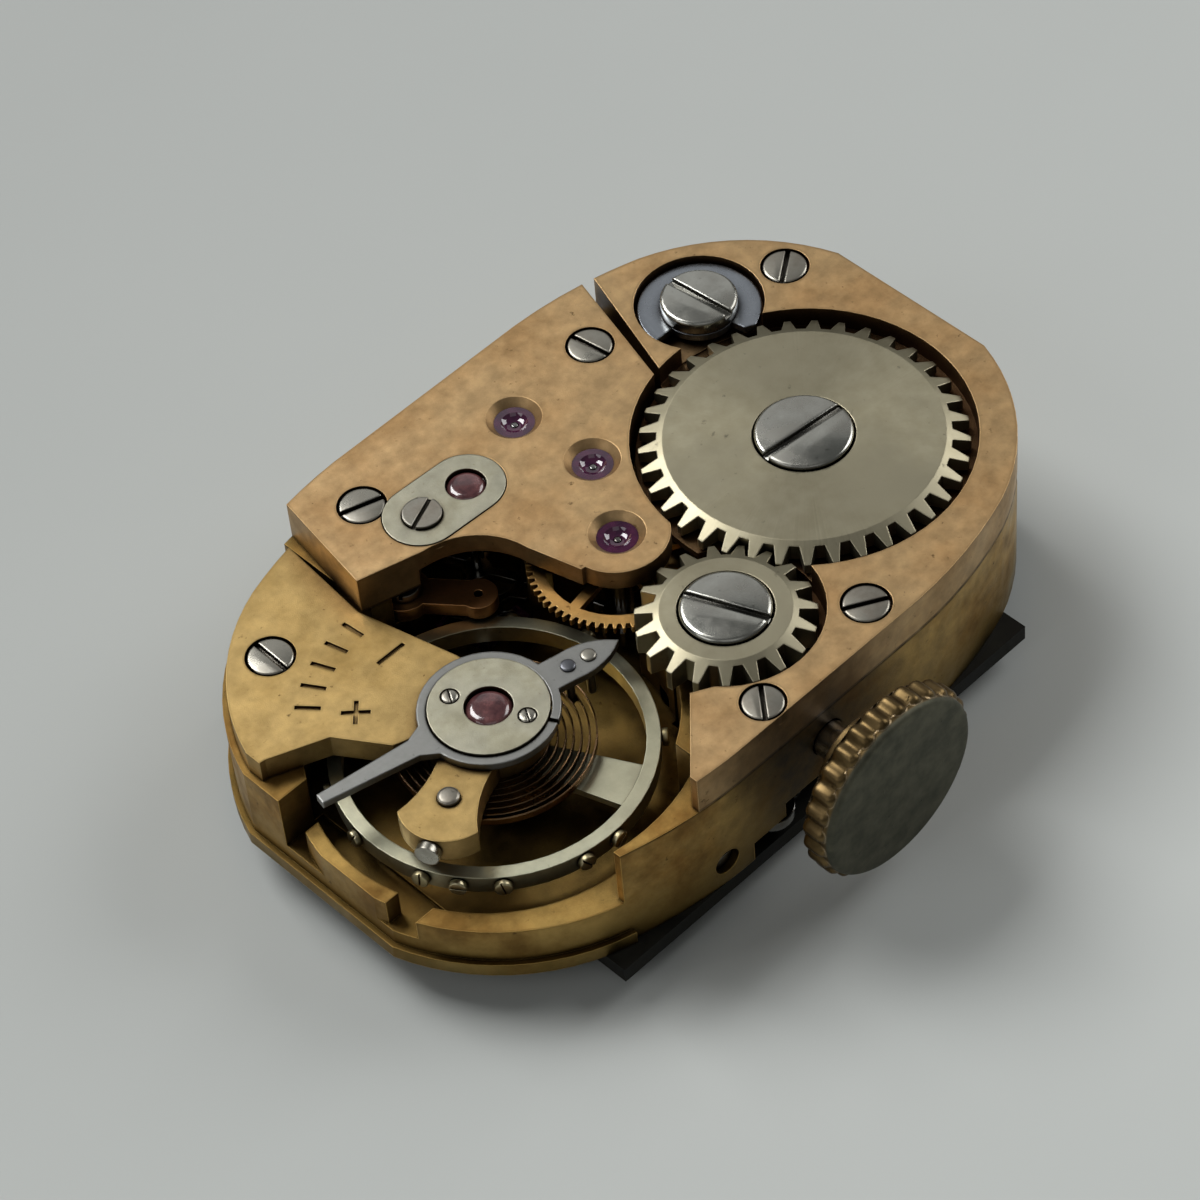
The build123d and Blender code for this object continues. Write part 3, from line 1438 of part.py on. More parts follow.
def click_spring():
    """Thin spring in the recess under the click."""
    low = click_spring_z
    high = low + click_spring_thick
    radius = click_recess_radius - side_gap
    ring = cyl(radius, low, high, click_axis)
    ring -= cyl(radius - click_spring_width, 0, high + overrun, click_axis)
    middle = (click_spring_start + click_spring_end) / 2
    turns = (click_spring_start, middle, click_spring_end)
    return ring & prism([click_axis] + [polar(radius * 2, a, click_axis) for a in turns], low, high)


def click_screw():
    low = click_z + click_thick + fit_gap
    high = low + click_head_thick
    foot = plate_thick + bridge_thick * 0.15
    return screw(click_axis, click_head_radius, low, high, shank_radius, foot, click_slot_turn)


def bridge_screws():
    """The four screws of the two bridges and the one of the cock."""
    foot = motion_depth + fit_gap
    seats = [(place, turn, top_z) for place, turn in train_screws + barrel_screws]
    seats.append((cock_screw[0], cock_screw[1], plate_thick))
    return [
        screw(place, head_radius, high - head_thick, high, shank_radius, foot, turn)
        for place, turn, high in seats
    ]


def setting_lever_screw():
    low = top_z - head_thick
    foot = lever_plate_z + fit_gap
    return screw(setting_lever_axis, setting_head_radius, low, top_z, shank_radius, foot, setting_slot_turn)


# Dial side
def cannon_pinion():
    low = motion_wheel_z - fit_gap
    high = motion_wheel_z + motion_wheel_thick
    body = gear(cannon_teeth, motion_module, low, high, (0, 0), minute_line, tooth_faces=False)
    body += cyl(cannon_radius, -cannon_reach, high)
    return body - cyl(centre_arbor_radius + fit_gap / 4, -cannon_reach - overrun, high + overrun)


def minute_wheel():
    """Minute wheel with its pinion on one bore."""
    toward = minute_line + 180
    low = motion_wheel_z
    wheel = gear(minute_teeth, motion_module, low, low + motion_wheel_thick, minute_axis, toward)
    foot = hour_wheel_z - side_gap / 4
    wheel += gear(minute_leaves, hour_module, foot, low, minute_axis, toward, tooth_faces=False)
    return wheel - cyl(wheel_post_radius + running, -overrun, top_z, minute_axis)


def hour_wheel():
    """Hour wheel with a shouldered pipe that carries the hour hand below the dial."""
    high = hour_wheel_z + hour_wheel_thick
    wheel = gear(hour_teeth, hour_module, hour_wheel_z, high, (0, 0), minute_line)
    wheel += cyl(hour_shoulder_radius, hour_seat_z, high)
    wheel += cyl(hour_pipe_radius, hour_pipe_end, hour_seat_z)
    return wheel - cyl(cannon_radius + running, hour_pipe_end - overrun, high + overrun)


def setting_wheel():
    low = motion_wheel_z
    high = setting_wheel_top + side_gap / 4
    toward = setting_line + 180
    wheel = gear(setting_teeth, motion_module, low, high, setting_wheel_axis, toward, tooth_faces=False)
    return wheel - cyl(wheel_post_radius + running, -overrun, top_z, setting_wheel_axis)


def setting_lever():
    """Plate lever with a pin that rides in the stem's groove."""
    low = lever_plate_z
    high = low + lever_plate_thick
    pin = (0, -groove_start - stem_groove_width / 2)
    pin_radius = stem_groove_width * 0.3
    half = pin_radius * 1.6
    arm = block(0, apart(setting_lever_axis, pin), -half, half, low, high)
    body = cyl(shank_radius * 2.1, low, high, setting_lever_axis)
    body += Pos(*setting_lever_axis, 0) * Rot(0, 0, bearing(setting_lever_axis, pin)) * arm
    body += cyl(half, low, high, pin)
    body += cyl(pin_radius, high, stem_z - stem_thread_radius - fit_gap * 3, pin)
    return body - cyl(shank_radius + running, -overrun, top_z, setting_lever_axis)


def yoke():
    """Lever whose finger stands in the sliding pinion's groove."""
    low = lever_plate_z
    high = low + lever_plate_thick
    finger = (-clutch_radius * 0.2, -clutch_groove_start - clutch_groove_width / 2)
    half = clutch_groove_width * 0.34
    arm = block(0, apart(yoke_axis, finger), -half, half, low, high)
    body = cyl(cannon_radius * 1.7, low, high, yoke_axis)
    body += Pos(*yoke_axis, 0) * Rot(0, 0, bearing(yoke_axis, finger)) * arm
    body += cyl(half, low, stem_z - clutch_groove_radius - fit_gap * 3, finger)
    return body - cyl(yoke_post_radius + running, -overrun, top_z, yoke_axis)


def setting_cover():
    """Cover plate over the levers, held by its screw."""
    low = fit_gap * 2
    cover = prism(from_shares(setting_cover_shares), low, low + cover_plate_thick)
    return cover - cyl(small_shank_radius + fit_gap, -overrun, top_z, cover_screw_place)


def setting_cover_screw():
    return cyl(small_shank_radius, fit_gap * 2, motion_depth, cover_screw_place)


def dial():
    """Plain rectangular dial with its two feet."""
    x = dial_half_length
    y = dial_half_width
    plate = block(dial_shift - x, dial_shift + x, -y, y, -dial_thick, 0)
    plate -= cyl(dial_hole_radius, -overrun, overrun)
    for place in dial_foot_places:
        plate += cyl(dial_foot_radius, 0, dial_foot_height, place)
    return plate


def dial_screws():
    """Side screws that grip the dial feet."""
    solids = []
    half = dial_screw_radius * slot_share / 2
    for place in dial_foot_places:
        side, start = dial_screw_seat(place)
        end = side * half_width * side_share[1] - side * dial_screw_inset
        bar = across(dial_screw_radius, abs(end - start), place[0], start, side)
        floor = end - side * screw_slot_depth
        low, high = sorted((floor, end + side * overrun))
        slot = block(-overrun, overrun, low, high, -half, half)
        solids.append(bar - Pos(place[0], 0, dial_screw_z) * slot)
    return solids


def pivot_jewels():
    return plate_jewels() + [cock_jewel()]


def all_train_jewels():
    return train_jewels() + [escape_upper_jewel()]


def small_screws():
    return [escape_cap_screw(), pallet_bridge_screw(), setting_cover_screw()]


def regulator_and_pins():
    return [regulator()] + curb_pins()


pieces = {
    "main_plate": main_plate,
    "barrel_bridge": barrel_bridge,
    "train_bridge": train_bridge,
    "balance_cock": balance_cock,
    "pallet_bridge": pallet_bridge,
    "bridge_screws": bridge_screws,
    "small_screws": small_screws,
    "setting_lever_screw": setting_lever_screw,
    "train_jewels": all_train_jewels,
    "pivot_jewels": pivot_jewels,
    "escape_cap_plate": escape_cap_plate,
    "escape_cap_jewel": escape_cap_jewel,
    "balance_cap_plate": balance_cap_plate,
    "balance_cap_jewel": balance_cap_jewel,
    "balance_cap_screws": balance_cap_screws,
    "hairspring_stud": hairspring_stud,
    "stud_screw": stud_screw,
    "hairspring": hairspring,
    "regulator": regulator_and_pins,
    "balance_wheel": balance_wheel,
    "balance_screws": balance_screws,
    "balance_staff": balance_staff,
    "roller": roller,
    "impulse_jewel": impulse_jewel,
    "collet": collet,
    "escape_wheel": escape_wheel,
    "escape_pinion": escape_pinion,
    "pallet_fork": pallet_fork,
    "pallet_stones": pallet_stones,
    "pallet_arbor": pallet_arbor,
    "centre_wheel": centre_wheel,
    "centre_arbor": centre_arbor,
    "third_wheel": third_wheel,
    "third_pinion": third_pinion,
    "fourth_wheel": fourth_wheel,
    "fourth_pinion": fourth_pinion,
    "barrel_drum": barrel_drum,
    "barrel_cover": barrel_cover,
    "mainspring": mainspring,
    "barrel_arbor": barrel_arbor,
    "ratchet_wheel": ratchet_wheel,
    "ratchet_screw": ratchet_screw,
    "crown_wheel": crown_wheel,
    "crown_wheel_screw": crown_wheel_screw,
    "click": click,
    "click_spring": click_spring,
    "click_screw": click_screw,
    "winding_pinion": winding_pinion,
    "sliding_pinion": sliding_pinion,
    "winding_stem": winding_stem,
    "crown": crown,
    "setting_lever": setting_lever,
    "yoke": yoke,
    "setting_lever_spring": setting_cover,
    "setting_wheel": setting_wheel,
    "cannon_pinion": cannon_pinion,
    "minute_wheel": minute_wheel,
    "hour_wheel": hour_wheel,
    "dial": dial,
    "dial_screws": dial_screws,
}
for name, make in pieces.items():
    made = make()
    solids = made if isinstance(made, list) else [made]
    loose = [body for shape in solids for body in shape.solids()]
    export_step(Compound(children=loose), f"parts/{name}.step")
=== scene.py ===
import math
from collections import namedtuple

import bpy
from mathutils import Matrix, Vector


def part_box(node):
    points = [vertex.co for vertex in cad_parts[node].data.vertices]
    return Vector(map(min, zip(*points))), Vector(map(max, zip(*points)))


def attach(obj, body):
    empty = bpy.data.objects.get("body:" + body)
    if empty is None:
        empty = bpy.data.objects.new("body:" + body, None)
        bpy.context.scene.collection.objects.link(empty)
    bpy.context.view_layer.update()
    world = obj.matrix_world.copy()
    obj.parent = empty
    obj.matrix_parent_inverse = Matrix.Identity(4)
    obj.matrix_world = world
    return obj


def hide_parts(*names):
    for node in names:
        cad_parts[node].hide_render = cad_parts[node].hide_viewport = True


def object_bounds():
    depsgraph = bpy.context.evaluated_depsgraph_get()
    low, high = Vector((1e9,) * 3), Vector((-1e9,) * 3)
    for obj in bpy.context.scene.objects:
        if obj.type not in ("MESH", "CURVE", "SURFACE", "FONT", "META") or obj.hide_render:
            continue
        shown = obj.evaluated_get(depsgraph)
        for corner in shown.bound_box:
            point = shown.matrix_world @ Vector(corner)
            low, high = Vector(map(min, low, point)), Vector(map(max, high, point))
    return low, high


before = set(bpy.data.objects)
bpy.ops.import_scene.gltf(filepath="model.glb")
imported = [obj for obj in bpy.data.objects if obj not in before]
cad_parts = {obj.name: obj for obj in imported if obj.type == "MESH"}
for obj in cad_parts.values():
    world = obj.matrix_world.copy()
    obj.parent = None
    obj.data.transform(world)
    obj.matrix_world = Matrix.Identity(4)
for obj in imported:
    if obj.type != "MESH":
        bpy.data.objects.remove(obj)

bl_info = {
    "name": "Shaped watch movement",
    "version": (1, 0, 0),
    "blender": (4, 5, 0),
    "location": "3D View > Sidebar > Movement",
    "description": "Finishes and fine parts of a small hand-wound watch movement",
    "category": "Object",
}

# The frame is in metres, and the movement's own sizes below are in millimetres
MM = 0.001
CAD_LOW, CAD_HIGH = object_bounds()
Solid = namedtuple("Solid", "place radius low high")


def millimetres(length):
    """A length of the frame, to a thousandth of a millimetre."""
    return round(length / MM, 3)


def centre_of(node):
    """Middle of a CAD node's box, in metres."""
    low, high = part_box(node)
    return (Vector(low) + Vector(high)) / 2


def span_of(node, axis):
    """Where a CAD node starts and ends along X, Y or Z."""
    low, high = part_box(node)
    return tuple(millimetres(corner["XYZ".index(axis)]) for corner in (low, high))


def solids_of(node):
    """The separate round solids of a CAD node, from left to right."""
    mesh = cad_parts[node].data
    leader = {}

    def first_of(corner):
        """The corner that stands for all that hang together with this one."""
        while leader[corner] != corner:
            corner = leader[corner]
        return corner

    for face in mesh.polygons:
        corners = [tuple(mesh.vertices[index].co) for index in face.vertices]
        for corner in corners:
            leader.setdefault(corner, corner)
            leader[first_of(corner)] = first_of(corners[0])
    parts = {}
    for corner in leader:
        parts.setdefault(first_of(corner), []).append(corner)
    solids = []
    for corners in parts.values():
        (left, right), (near, far), (low, high) = ((min(side), max(side)) for side in zip(*corners))
        place = (millimetres((left + right) / 2), millimetres((near + far) / 2))
        solids.append(Solid(place, millimetres((right - left) / 2), millimetres(low), millimetres(high)))
    return sorted(solids)


# Driving places and heights, read from the frame
BALANCE_AXIS = solids_of("balance_cap_jewel")[0].place
PLATE_TOP, BRIDGE_TOP = span_of("barrel_bridge", "Z")
COCK_TOP = span_of("balance_cock", "Z")[1]
STEM_END = span_of("winding_stem", "Y")[0]
CROWN_FRONT, CROWN_REAR = span_of("crown", "Y")
CROWN_HEIGHT = millimetres(centre_of("crown").z)
RING_THICKNESS = 0.60
RING_FRONT = STEM_END - RING_THICKNESS


def about_balance(distance, turn):
    """Place in plan at a distance and a direction in degrees from the balance's axis."""
    angle = math.radians(turn)
    return (BALANCE_AXIS[0] + distance * math.cos(angle), BALANCE_AXIS[1] + distance * math.sin(angle))


# Shader helpers, with the indices of the Mix node's colour sockets
MIX_FACTOR, MIX_FIRST, MIX_SECOND, MIX_RESULT = 0, 6, 7, 2


def toned(colour, factor):
    """A colour made darker or brighter, at most white."""
    return tuple(min(1, factor * part) for part in colour)


def new_node(tree, kind, place, **values):
    """Adds a node and sets its named attributes."""
    made = tree.nodes.new(kind)
    made.location = place
    for name, value in values.items():
        setattr(made, name, value)
    return made


def feed(tree, value, socket):
    """Links a socket to another one, or sets it to a fixed number or colour."""
    if isinstance(value, bpy.types.NodeSocket):
        tree.links.new(value, socket)
    elif isinstance(value, tuple):
        socket.default_value = (*value, 1)
    else:
        socket.default_value = value


def group_with(name, inputs, outputs):
    """Empty shader node group with named sockets."""
    tree = bpy.data.node_groups.new(name, "ShaderNodeTree")
    for label, kind, default in inputs:
        socket = tree.interface.new_socket(name=label, in_out="INPUT", socket_type=kind)
        socket.default_value = default
    for label, kind in outputs:
        tree.interface.new_socket(name=label, in_out="OUTPUT", socket_type=kind)
    start = new_node(tree, "NodeGroupInput", (-900, 0))
    end = new_node(tree, "NodeGroupOutput", (700, 0))
    return tree, start, end


def math_node(tree, operation, place, *values):
    """Sum, product or other function of numbers and sockets."""
    made = new_node(tree, "ShaderNodeMath", place, operation=operation)
    for value, socket in zip(values, made.inputs):
        feed(tree, value, socket)
    return made.outputs[0]


def mix(tree, factor, first, second, place, blend="MIX"):
    """Mixes two colours; each may be a socket or a fixed colour."""
    made = new_node(tree, "ShaderNodeMix", place, data_type="RGBA", blend_type=blend)
    for value, index in ((factor, MIX_FACTOR), (first, MIX_FIRST), (second, MIX_SECOND)):
        feed(tree, value, made.inputs[index])
    return made.outputs[MIX_RESULT]


def noise(tree, source, scale, detail, place):
    """Noise texture. Its scale, in features per millimetre, is a number or a socket."""
    made = new_node(tree, "ShaderNodeTexNoise", place)
    made.inputs["Detail"].default_value = detail
    made.inputs["Roughness"].default_value = 0.6
    tree.links.new(source, made.inputs["Vector"])
    if isinstance(scale, bpy.types.NodeSocket):
        scale = math_node(tree, "MULTIPLY", (place[0] - 160, place[1] - 140), scale, 1 / MM)
    else:
        scale /= MM
    feed(tree, scale, made.inputs["Scale"])
    return made.outputs["Fac"]


def ramp(tree, source, stops, place):
    """Ramp between positions and grey values."""
    made = new_node(tree, "ShaderNodeValToRGB", place)
    for element, (position, grey) in zip(made.color_ramp.elements, stops):
        element.position = position
        element.color = (grey, grey, grey, 1)
    tree.links.new(source, made.inputs["Fac"])
    return made.outputs["Color"]


def map_range(tree, source, start, end, place, low=0.0, high=1.0):
    """Value that goes from low to high while its source goes from start to end."""
    made = new_node(tree, "ShaderNodeMapRange", place)
    for label, value in (("From Min", start), ("From Max", end), ("To Min", low), ("To Max", high)):
        made.inputs[label].default_value = value
    tree.links.new(source, made.inputs["Value"])
    return made.outputs["Result"]


def separate(tree, source, place):
    """The X, Y and Z sockets of a vector."""
    made = new_node(tree, "ShaderNodeSeparateXYZ", place)
    tree.links.new(source, made.inputs[0])
    return made.outputs


def stain_group():
    """Blotches of tarnish, small dark pits, a cloudy mottle and fine grain."""
    tree, start, end = group_with(
        "Tarnish",
        (("Blotch size", "NodeSocketFloat", 0.6), ("Pit size", "NodeSocketFloat", 6.0)),
        tuple((label, "NodeSocketFloat") for label in ("Blotch", "Pits", "Mottle", "Grain")),
    )
    place = new_node(tree, "ShaderNodeTexCoord", (-900, 300)).outputs["Object"]
    masks = (
        ("Blotch", start.outputs["Blotch size"], 5, 300, ((0.40, 0.0), (0.64, 1.0))),
        ("Pits", start.outputs["Pit size"], 4, 0, ((0.66, 0.0), (0.75, 0.85))),
        ("Mottle", 2.3, 7, -600, ((0.34, 0.0), (0.66, 1.0))),
    )
    for label, scale, detail, row, stops in masks:
        cloud = noise(tree, place, scale, detail, (-600, row))
        tree.links.new(ramp(tree, cloud, stops, (-300, row)), end.inputs[label])
    tree.links.new(noise(tree, place, 42, 2, (-600, -300)), end.inputs["Grain"])
    return tree


def edge_group():
    """Rounded edges: a softened normal, and a mask along the edges."""
    tree, start, end = group_with(
        "Rounded edges",
        (("Radius", "NodeSocketFloat", 0.03 * MM),),
        (("Normal", "NodeSocketVector"), ("Edge", "NodeSocketFloat")),
    )
    bevel = new_node(tree, "ShaderNodeBevel", (-500, 100), samples=6)
    tree.links.new(start.outputs["Radius"], bevel.inputs["Radius"])
    flat = new_node(tree, "ShaderNodeNewGeometry", (-500, -200))
    dot = new_node(tree, "ShaderNodeVectorMath", (-250, 0), operation="DOT_PRODUCT")
    tree.links.new(bevel.outputs["Normal"], dot.inputs[0])
    tree.links.new(flat.outputs["Normal"], dot.inputs[1])
    edge = ramp(tree, dot.outputs["Value"], ((0.80, 1.0), (0.985, 0.0)), (0, -100))
    tree.links.new(bevel.outputs["Normal"], end.inputs["Normal"])
    tree.links.new(edge, end.inputs["Edge"])
    return tree


def painted_shade_group():
    """Masks of painted shade in the places that light doesn't reach: wide recesses and narrow grooves."""
    tree, start, end = group_with(
        "Grime",
        (("Reach", "NodeSocketFloat", 0.9 * MM), ("Groove", "NodeSocketFloat", 0.10 * MM)),
        (("Recess", "NodeSocketFloat"), ("Groove", "NodeSocketFloat")),
    )
    masks = (
        ("Recess", start.outputs["Reach"], 100, ((0.42, 1.0), (0.92, 0.0))),
        ("Groove", start.outputs["Groove"], -200, ((0.45, 1.0), (0.80, 0.0))),
    )
    for label, distance, row, stops in masks:
        near = new_node(tree, "ShaderNodeAmbientOcclusion", (-400, row), samples=6)
        tree.links.new(distance, near.inputs["Distance"])
        tree.links.new(ramp(tree, near.outputs["AO"], stops, (-100, row)), end.inputs[label])
    return tree


class Finish:
    """One material and the sockets that its recipe fills."""

    def __init__(self, name, metallic=1.0):
        """Starts a plain metal, or a lacquer or stone where metallic is 0."""
        self.material = bpy.data.materials.new(name)
        self.material.use_nodes = True
        self.tree = self.material.node_tree
        self.shader = self.tree.nodes["Principled BSDF"]
        self.shader.inputs["Metallic"].default_value = metallic
        self.coordinates = new_node(self.tree, "ShaderNodeTexCoord", (-1300, 0)).outputs["Object"]

    def group(self, tree, place, **values):
        """Places a node group with this material's own values and returns its outputs."""
        made = new_node(self.tree, "ShaderNodeGroup", place, node_tree=tree)
        for label, value in values.items():
            made.inputs[label.replace("_", " ")].default_value = value
        return made.outputs

    def link(self, source, label):
        """Feeds one socket of the shader."""
        self.tree.links.new(source, self.shader.inputs[label])

    def roughness(self, source, low, high):
        """Lets the roughness follow a mask."""
        self.link(map_range(self.tree, source, 0.0, 1.0, (-200, -300), low, high), "Roughness")

    def bump(self, height, strength, depth, normal=None):
        """Adds fine relief, on top of rounded edges where a normal is given."""
        made = new_node(self.tree, "ShaderNodeBump", (-200, -600))
        made.inputs["Strength"].default_value = strength
        made.inputs["Distance"].default_value = depth
        self.tree.links.new(height, made.inputs["Height"])
        if normal:
            self.tree.links.new(normal, made.inputs["Normal"])
        self.link(made.outputs["Normal"], "Normal")


def seam_mask(finish, level, mottle):
    """Dirt held by the joint of two plates: a thin broken line on upright walls at one height."""
    tree = finish.tree
    height = separate(tree, finish.coordinates, (-1050, -900))["Z"]
    above = math_node(tree, "SUBTRACT", (-900, -900), height, level * MM)
    away = math_node(tree, "ABSOLUTE", (-760, -900), above)
    near = map_range(tree, away, 0.018 * MM, 0.075 * MM, (-620, -900), 1.0, 0.0)
    normal = new_node(tree, "ShaderNodeTexCoord", (-1250, -1150)).outputs["Normal"]
    flat = math_node(tree, "ABSOLUTE", (-900, -1150), separate(tree, normal, (-1050, -1150))["Z"])
    upright = math_node(tree, "LESS_THAN", (-760, -1150), flat, 0.5)
    broken = math_node(tree, "MULTIPLY_ADD", (-620, -1150), mottle, 0.5, 0.45)
    dirt_and_shade = math_node(tree, "MULTIPLY", (-460, -1000), near, upright)
    return math_node(tree, "MULTIPLY", (-320, -1000), dirt_and_shade, broken)


def low_shade_mask(finish, full, gone, mottle):
    """Uneven painted shade low on the walls, that fades out between two heights."""
    tree = finish.tree
    height = separate(tree, finish.coordinates, (-1050, -500))["Z"]
    low = map_range(tree, height, full * MM, gone * MM, (-850, -500), 0.85, 0.0)
    patches = math_node(tree, "MULTIPLY_ADD", (-850, -700), mottle, 0.6, 0.5)
    return math_node(tree, "MULTIPLY", (-600, -500), low, patches)


def aged_metal(name, groups, base, tarnish, pit, rough=(0.30, 0.5), blotch=0.55, pits=5.0, mottle=0.80,
               radius=0.035, rim=0.0, grime=(0.05, 0.025, 0.012), reach=0.9, shade_breakup=0.0,
               low_shade=None, seam=0.0):
    """Plated or plain metal: tarnish in blotches, dark pits, painted shade in recesses and grooves
    and a painted highlight on the edges.

    rim is the width of worn edges, clean is how far the tarnish blotches break the painted shade in
    recesses into lit patches, skirt is the heights and the colour of painted shade low on the walls,
    and seam is the height of a dirty joint.
    """
    finish = Finish(name)
    tree = finish.tree
    stains = finish.group(groups["stains"], (-1050, 200), Blotch_size=blotch, Pit_size=pits)
    edges = finish.group(groups["edges"], (-1050, -200), Radius=radius * MM)
    dirt_and_shade = finish.group(groups["grime"], (-1050, 500), Reach=reach * MM)
    body = mix(tree, stains["Blotch"], base, tarnish, (-840, 200))
    clouds = mix(tree, stains["Mottle"], (mottle,) * 3, (1.06,) * 3, (-840, 20))
    body = mix(tree, 1.0, body, clouds, (-700, 200), "MULTIPLY")
    if rim:
        wide = finish.group(groups["edges"], (-1050, -400), Radius=rim * MM)
        worn = math_node(tree, "MULTIPLY", (-760, -400), wide["Edge"], stains["Mottle"])
        body = mix(tree, worn, body, toned(tarnish, 0.55), (-630, 120))
    body = mix(tree, stains["Pits"], body, pit, (-560, 200))
    # Painted shade low on the walls, darkest at their foot
    if low_shade:
        full, gone, colour = low_shade
        body = mix(tree, low_shade_mask(finish, full, gone, stains["Mottle"]), body, colour, (-490, 60))
    # Painted highlight: the edges are coloured paler than the base
    body = mix(tree, edges["Edge"], body, toned(base, 1.25), (-420, 200))
    if seam:
        body = mix(tree, seam_mask(finish, seam, stains["Mottle"]), body, toned(pit, 0.4), (-350, 120))
    # Painted shade in recesses, broken into lit patches by the tarnish blotches, then darker painted shade
    # in grooves
    shade_left = math_node(tree, "MULTIPLY_ADD", (-560, 560), stains["Blotch"], -shade_breakup, 1.0)
    recess_shade = math_node(tree, "MULTIPLY", (-420, 420), shade_left, dirt_and_shade["Recess"])
    body = mix(tree, recess_shade, body, grime, (-280, 260))
    body = mix(tree, dirt_and_shade["Groove"], body, toned(grime, 0.6), (-140, 260))
    finish.link(body, "Base Color")
    finish.roughness(stains["Blotch"], *rough)
    finish.bump(stains["Grain"], 0.25, 0.012 * MM, edges["Normal"])
    return finish.material


def crown_metal(name, groups):
    """Worn gilt flutes with painted edge highlights and groove shade; a face partly dark metal, partly
    painted shade.
    """
    finish = Finish(name)
    tree = finish.tree
    stains = finish.group(groups["stains"], (-1050, 200), Blotch_size=1.3, Pit_size=4.5)
    edges = finish.group(groups["edges"], (-1050, -200), Radius=0.05 * MM)
    dirt_and_shade = finish.group(groups["grime"], (-1050, 500), Groove=0.16 * MM)
    body = mix(tree, stains["Mottle"], (0.17, 0.115, 0.05), (0.09, 0.06, 0.025), (-700, 200))
    # Painted highlight on the flute edges, and painted shade in the grooves
    body = mix(tree, edges["Edge"], body, (0.52, 0.40, 0.26), (-560, 200))
    body = mix(tree, dirt_and_shade["Groove"], body, (0.03, 0.02, 0.010), (-420, 200))
    # The front face is dark: partly its dull metal, partly painted shade
    depth = separate(tree, finish.coordinates, (-1050, -500))["Y"]
    front = map_range(tree, depth, (RING_FRONT + 0.03) * MM, (RING_FRONT - 0.03) * MM, (-850, -500))
    face = mix(tree, stains["Pits"], (0.075, 0.075, 0.055), (0.02, 0.02, 0.014), (-560, -200))
    face = mix(tree, stains["Mottle"], face, (0.13, 0.125, 0.09), (-420, -200))
    finish.link(mix(tree, front, body, face, (-280, 100)), "Base Color")
    finish.roughness(front, 0.38, 0.62)
    finish.bump(stains["Pits"], 0.4, 0.03 * MM, edges["Normal"])
    return finish.material


def brushed_rays_and_sheen(finish, centre, strokes):
    """Fine rays about an upright axis, and a painted sheen: a broad pale band across them."""
    tree = finish.tree
    move = new_node(tree, "ShaderNodeVectorMath", (-1100, 300), operation="SUBTRACT")
    move.inputs[1].default_value = centre
    tree.links.new(finish.coordinates, move.inputs[0])
    side = separate(tree, move.outputs[0], (-950, 300))
    angle = math_node(tree, "ARCTAN2", (-800, 300), side["Y"], side["X"])
    ray = new_node(tree, "ShaderNodeCombineXYZ", (-650, 300))
    tree.links.new(angle, ray.inputs["X"])
    rays = new_node(tree, "ShaderNodeTexNoise", (-500, 300))
    rays.inputs["Scale"].default_value = strokes
    rays.inputs["Detail"].default_value = 4
    tree.links.new(ray.outputs[0], rays.inputs["Vector"])
    # Painted reflection: pale twice round the axis, as brushed steel would reflect, darker between
    twice = math_node(tree, "MULTIPLY_ADD", (-650, 60), angle, 2.0, math.radians(80))
    wide = math_node(tree, "COSINE", (-500, 60), twice)
    painted_sheen = math_node(tree, "MULTIPLY_ADD", (-420, 60), wide, 0.5, 0.5)
    return rays.outputs["Fac"], ramp(tree, painted_sheen, ((0.1, 0.66), (0.9, 0.92)), (-320, 60))


def sunburst_steel(name, groups, centre, base):
    """Satin steel brushed in rays, with a painted sheen, painted edge highlights and painted shade in
    grooves.
    """
    finish = Finish(name)
    tree = finish.tree
    dark = toned(base, 0.82)
    stains = finish.group(groups["stains"], (-1050, -100), Blotch_size=0.35, Pit_size=4.0)
    edges = finish.group(groups["edges"], (-1050, -400), Radius=0.04 * MM)
    dirt_and_shade = finish.group(groups["grime"], (-160, 500), Groove=0.12 * MM)
    rays, painted_sheen = brushed_rays_and_sheen(finish, centre, 70)
    body = mix(tree, rays, dark, base, (-320, 300))
    body = mix(tree, 1.0, body, painted_sheen, (-160, 260), "MULTIPLY")
    clouds = mix(tree, stains["Mottle"], (0.86, 0.85, 0.82), (1.0, 1.0, 1.0), (-160, -40))
    body = mix(tree, 1.0, body, clouds, (-100, 230), "MULTIPLY")
    body = mix(tree, stains["Blotch"], body, toned(dark, 0.75), (-40, 200))
    body = mix(tree, stains["Pits"], body, toned(dark, 0.4), (20, 200))
    # Painted highlight on the edges, then painted shade in the grooves
    body = mix(tree, edges["Edge"], body, toned(base, 1.3), (60, 160))
    finish.link(mix(tree, dirt_and_shade["Groove"], body, (0.04, 0.03, 0.02), (120, 260)), "Base Color")
    finish.roughness(rays, 0.34, 0.50)
    finish.bump(rays, 0.12, 0.01 * MM, edges["Normal"])
    return finish.material


def polished_steel(name, groups, base, shade, rough, reach=0.25):
    """Polished steel with soft clouds, rounded edges and painted shade in recesses and grooves."""
    finish = Finish(name)
    tree = finish.tree
    stains = finish.group(groups["stains"], (-1050, 200), Blotch_size=0.9, Pit_size=7.0)
    edges = finish.group(groups["edges"], (-1050, -200), Radius=0.05 * MM)
    dirt_and_shade = finish.group(groups["grime"], (-1050, 500), Groove=0.16 * MM, Reach=reach * MM)
    body = mix(tree, stains["Blotch"], base, shade, (-840, 200))
    body = mix(tree, stains["Pits"], body, toned(shade, 0.6), (-700, 200))
    # Painted shade: recesses and grooves are darkened
    body = mix(tree, dirt_and_shade["Recess"], body, toned(shade, 0.2), (-560, 200))
    finish.link(mix(tree, dirt_and_shade["Groove"], body, (0.02, 0.016, 0.012), (-420, 200)), "Base Color")
    finish.roughness(stains["Blotch"], *rough)
    finish.bump(stains["Grain"], 0.12, 0.006 * MM, edges["Normal"])
    return finish.material


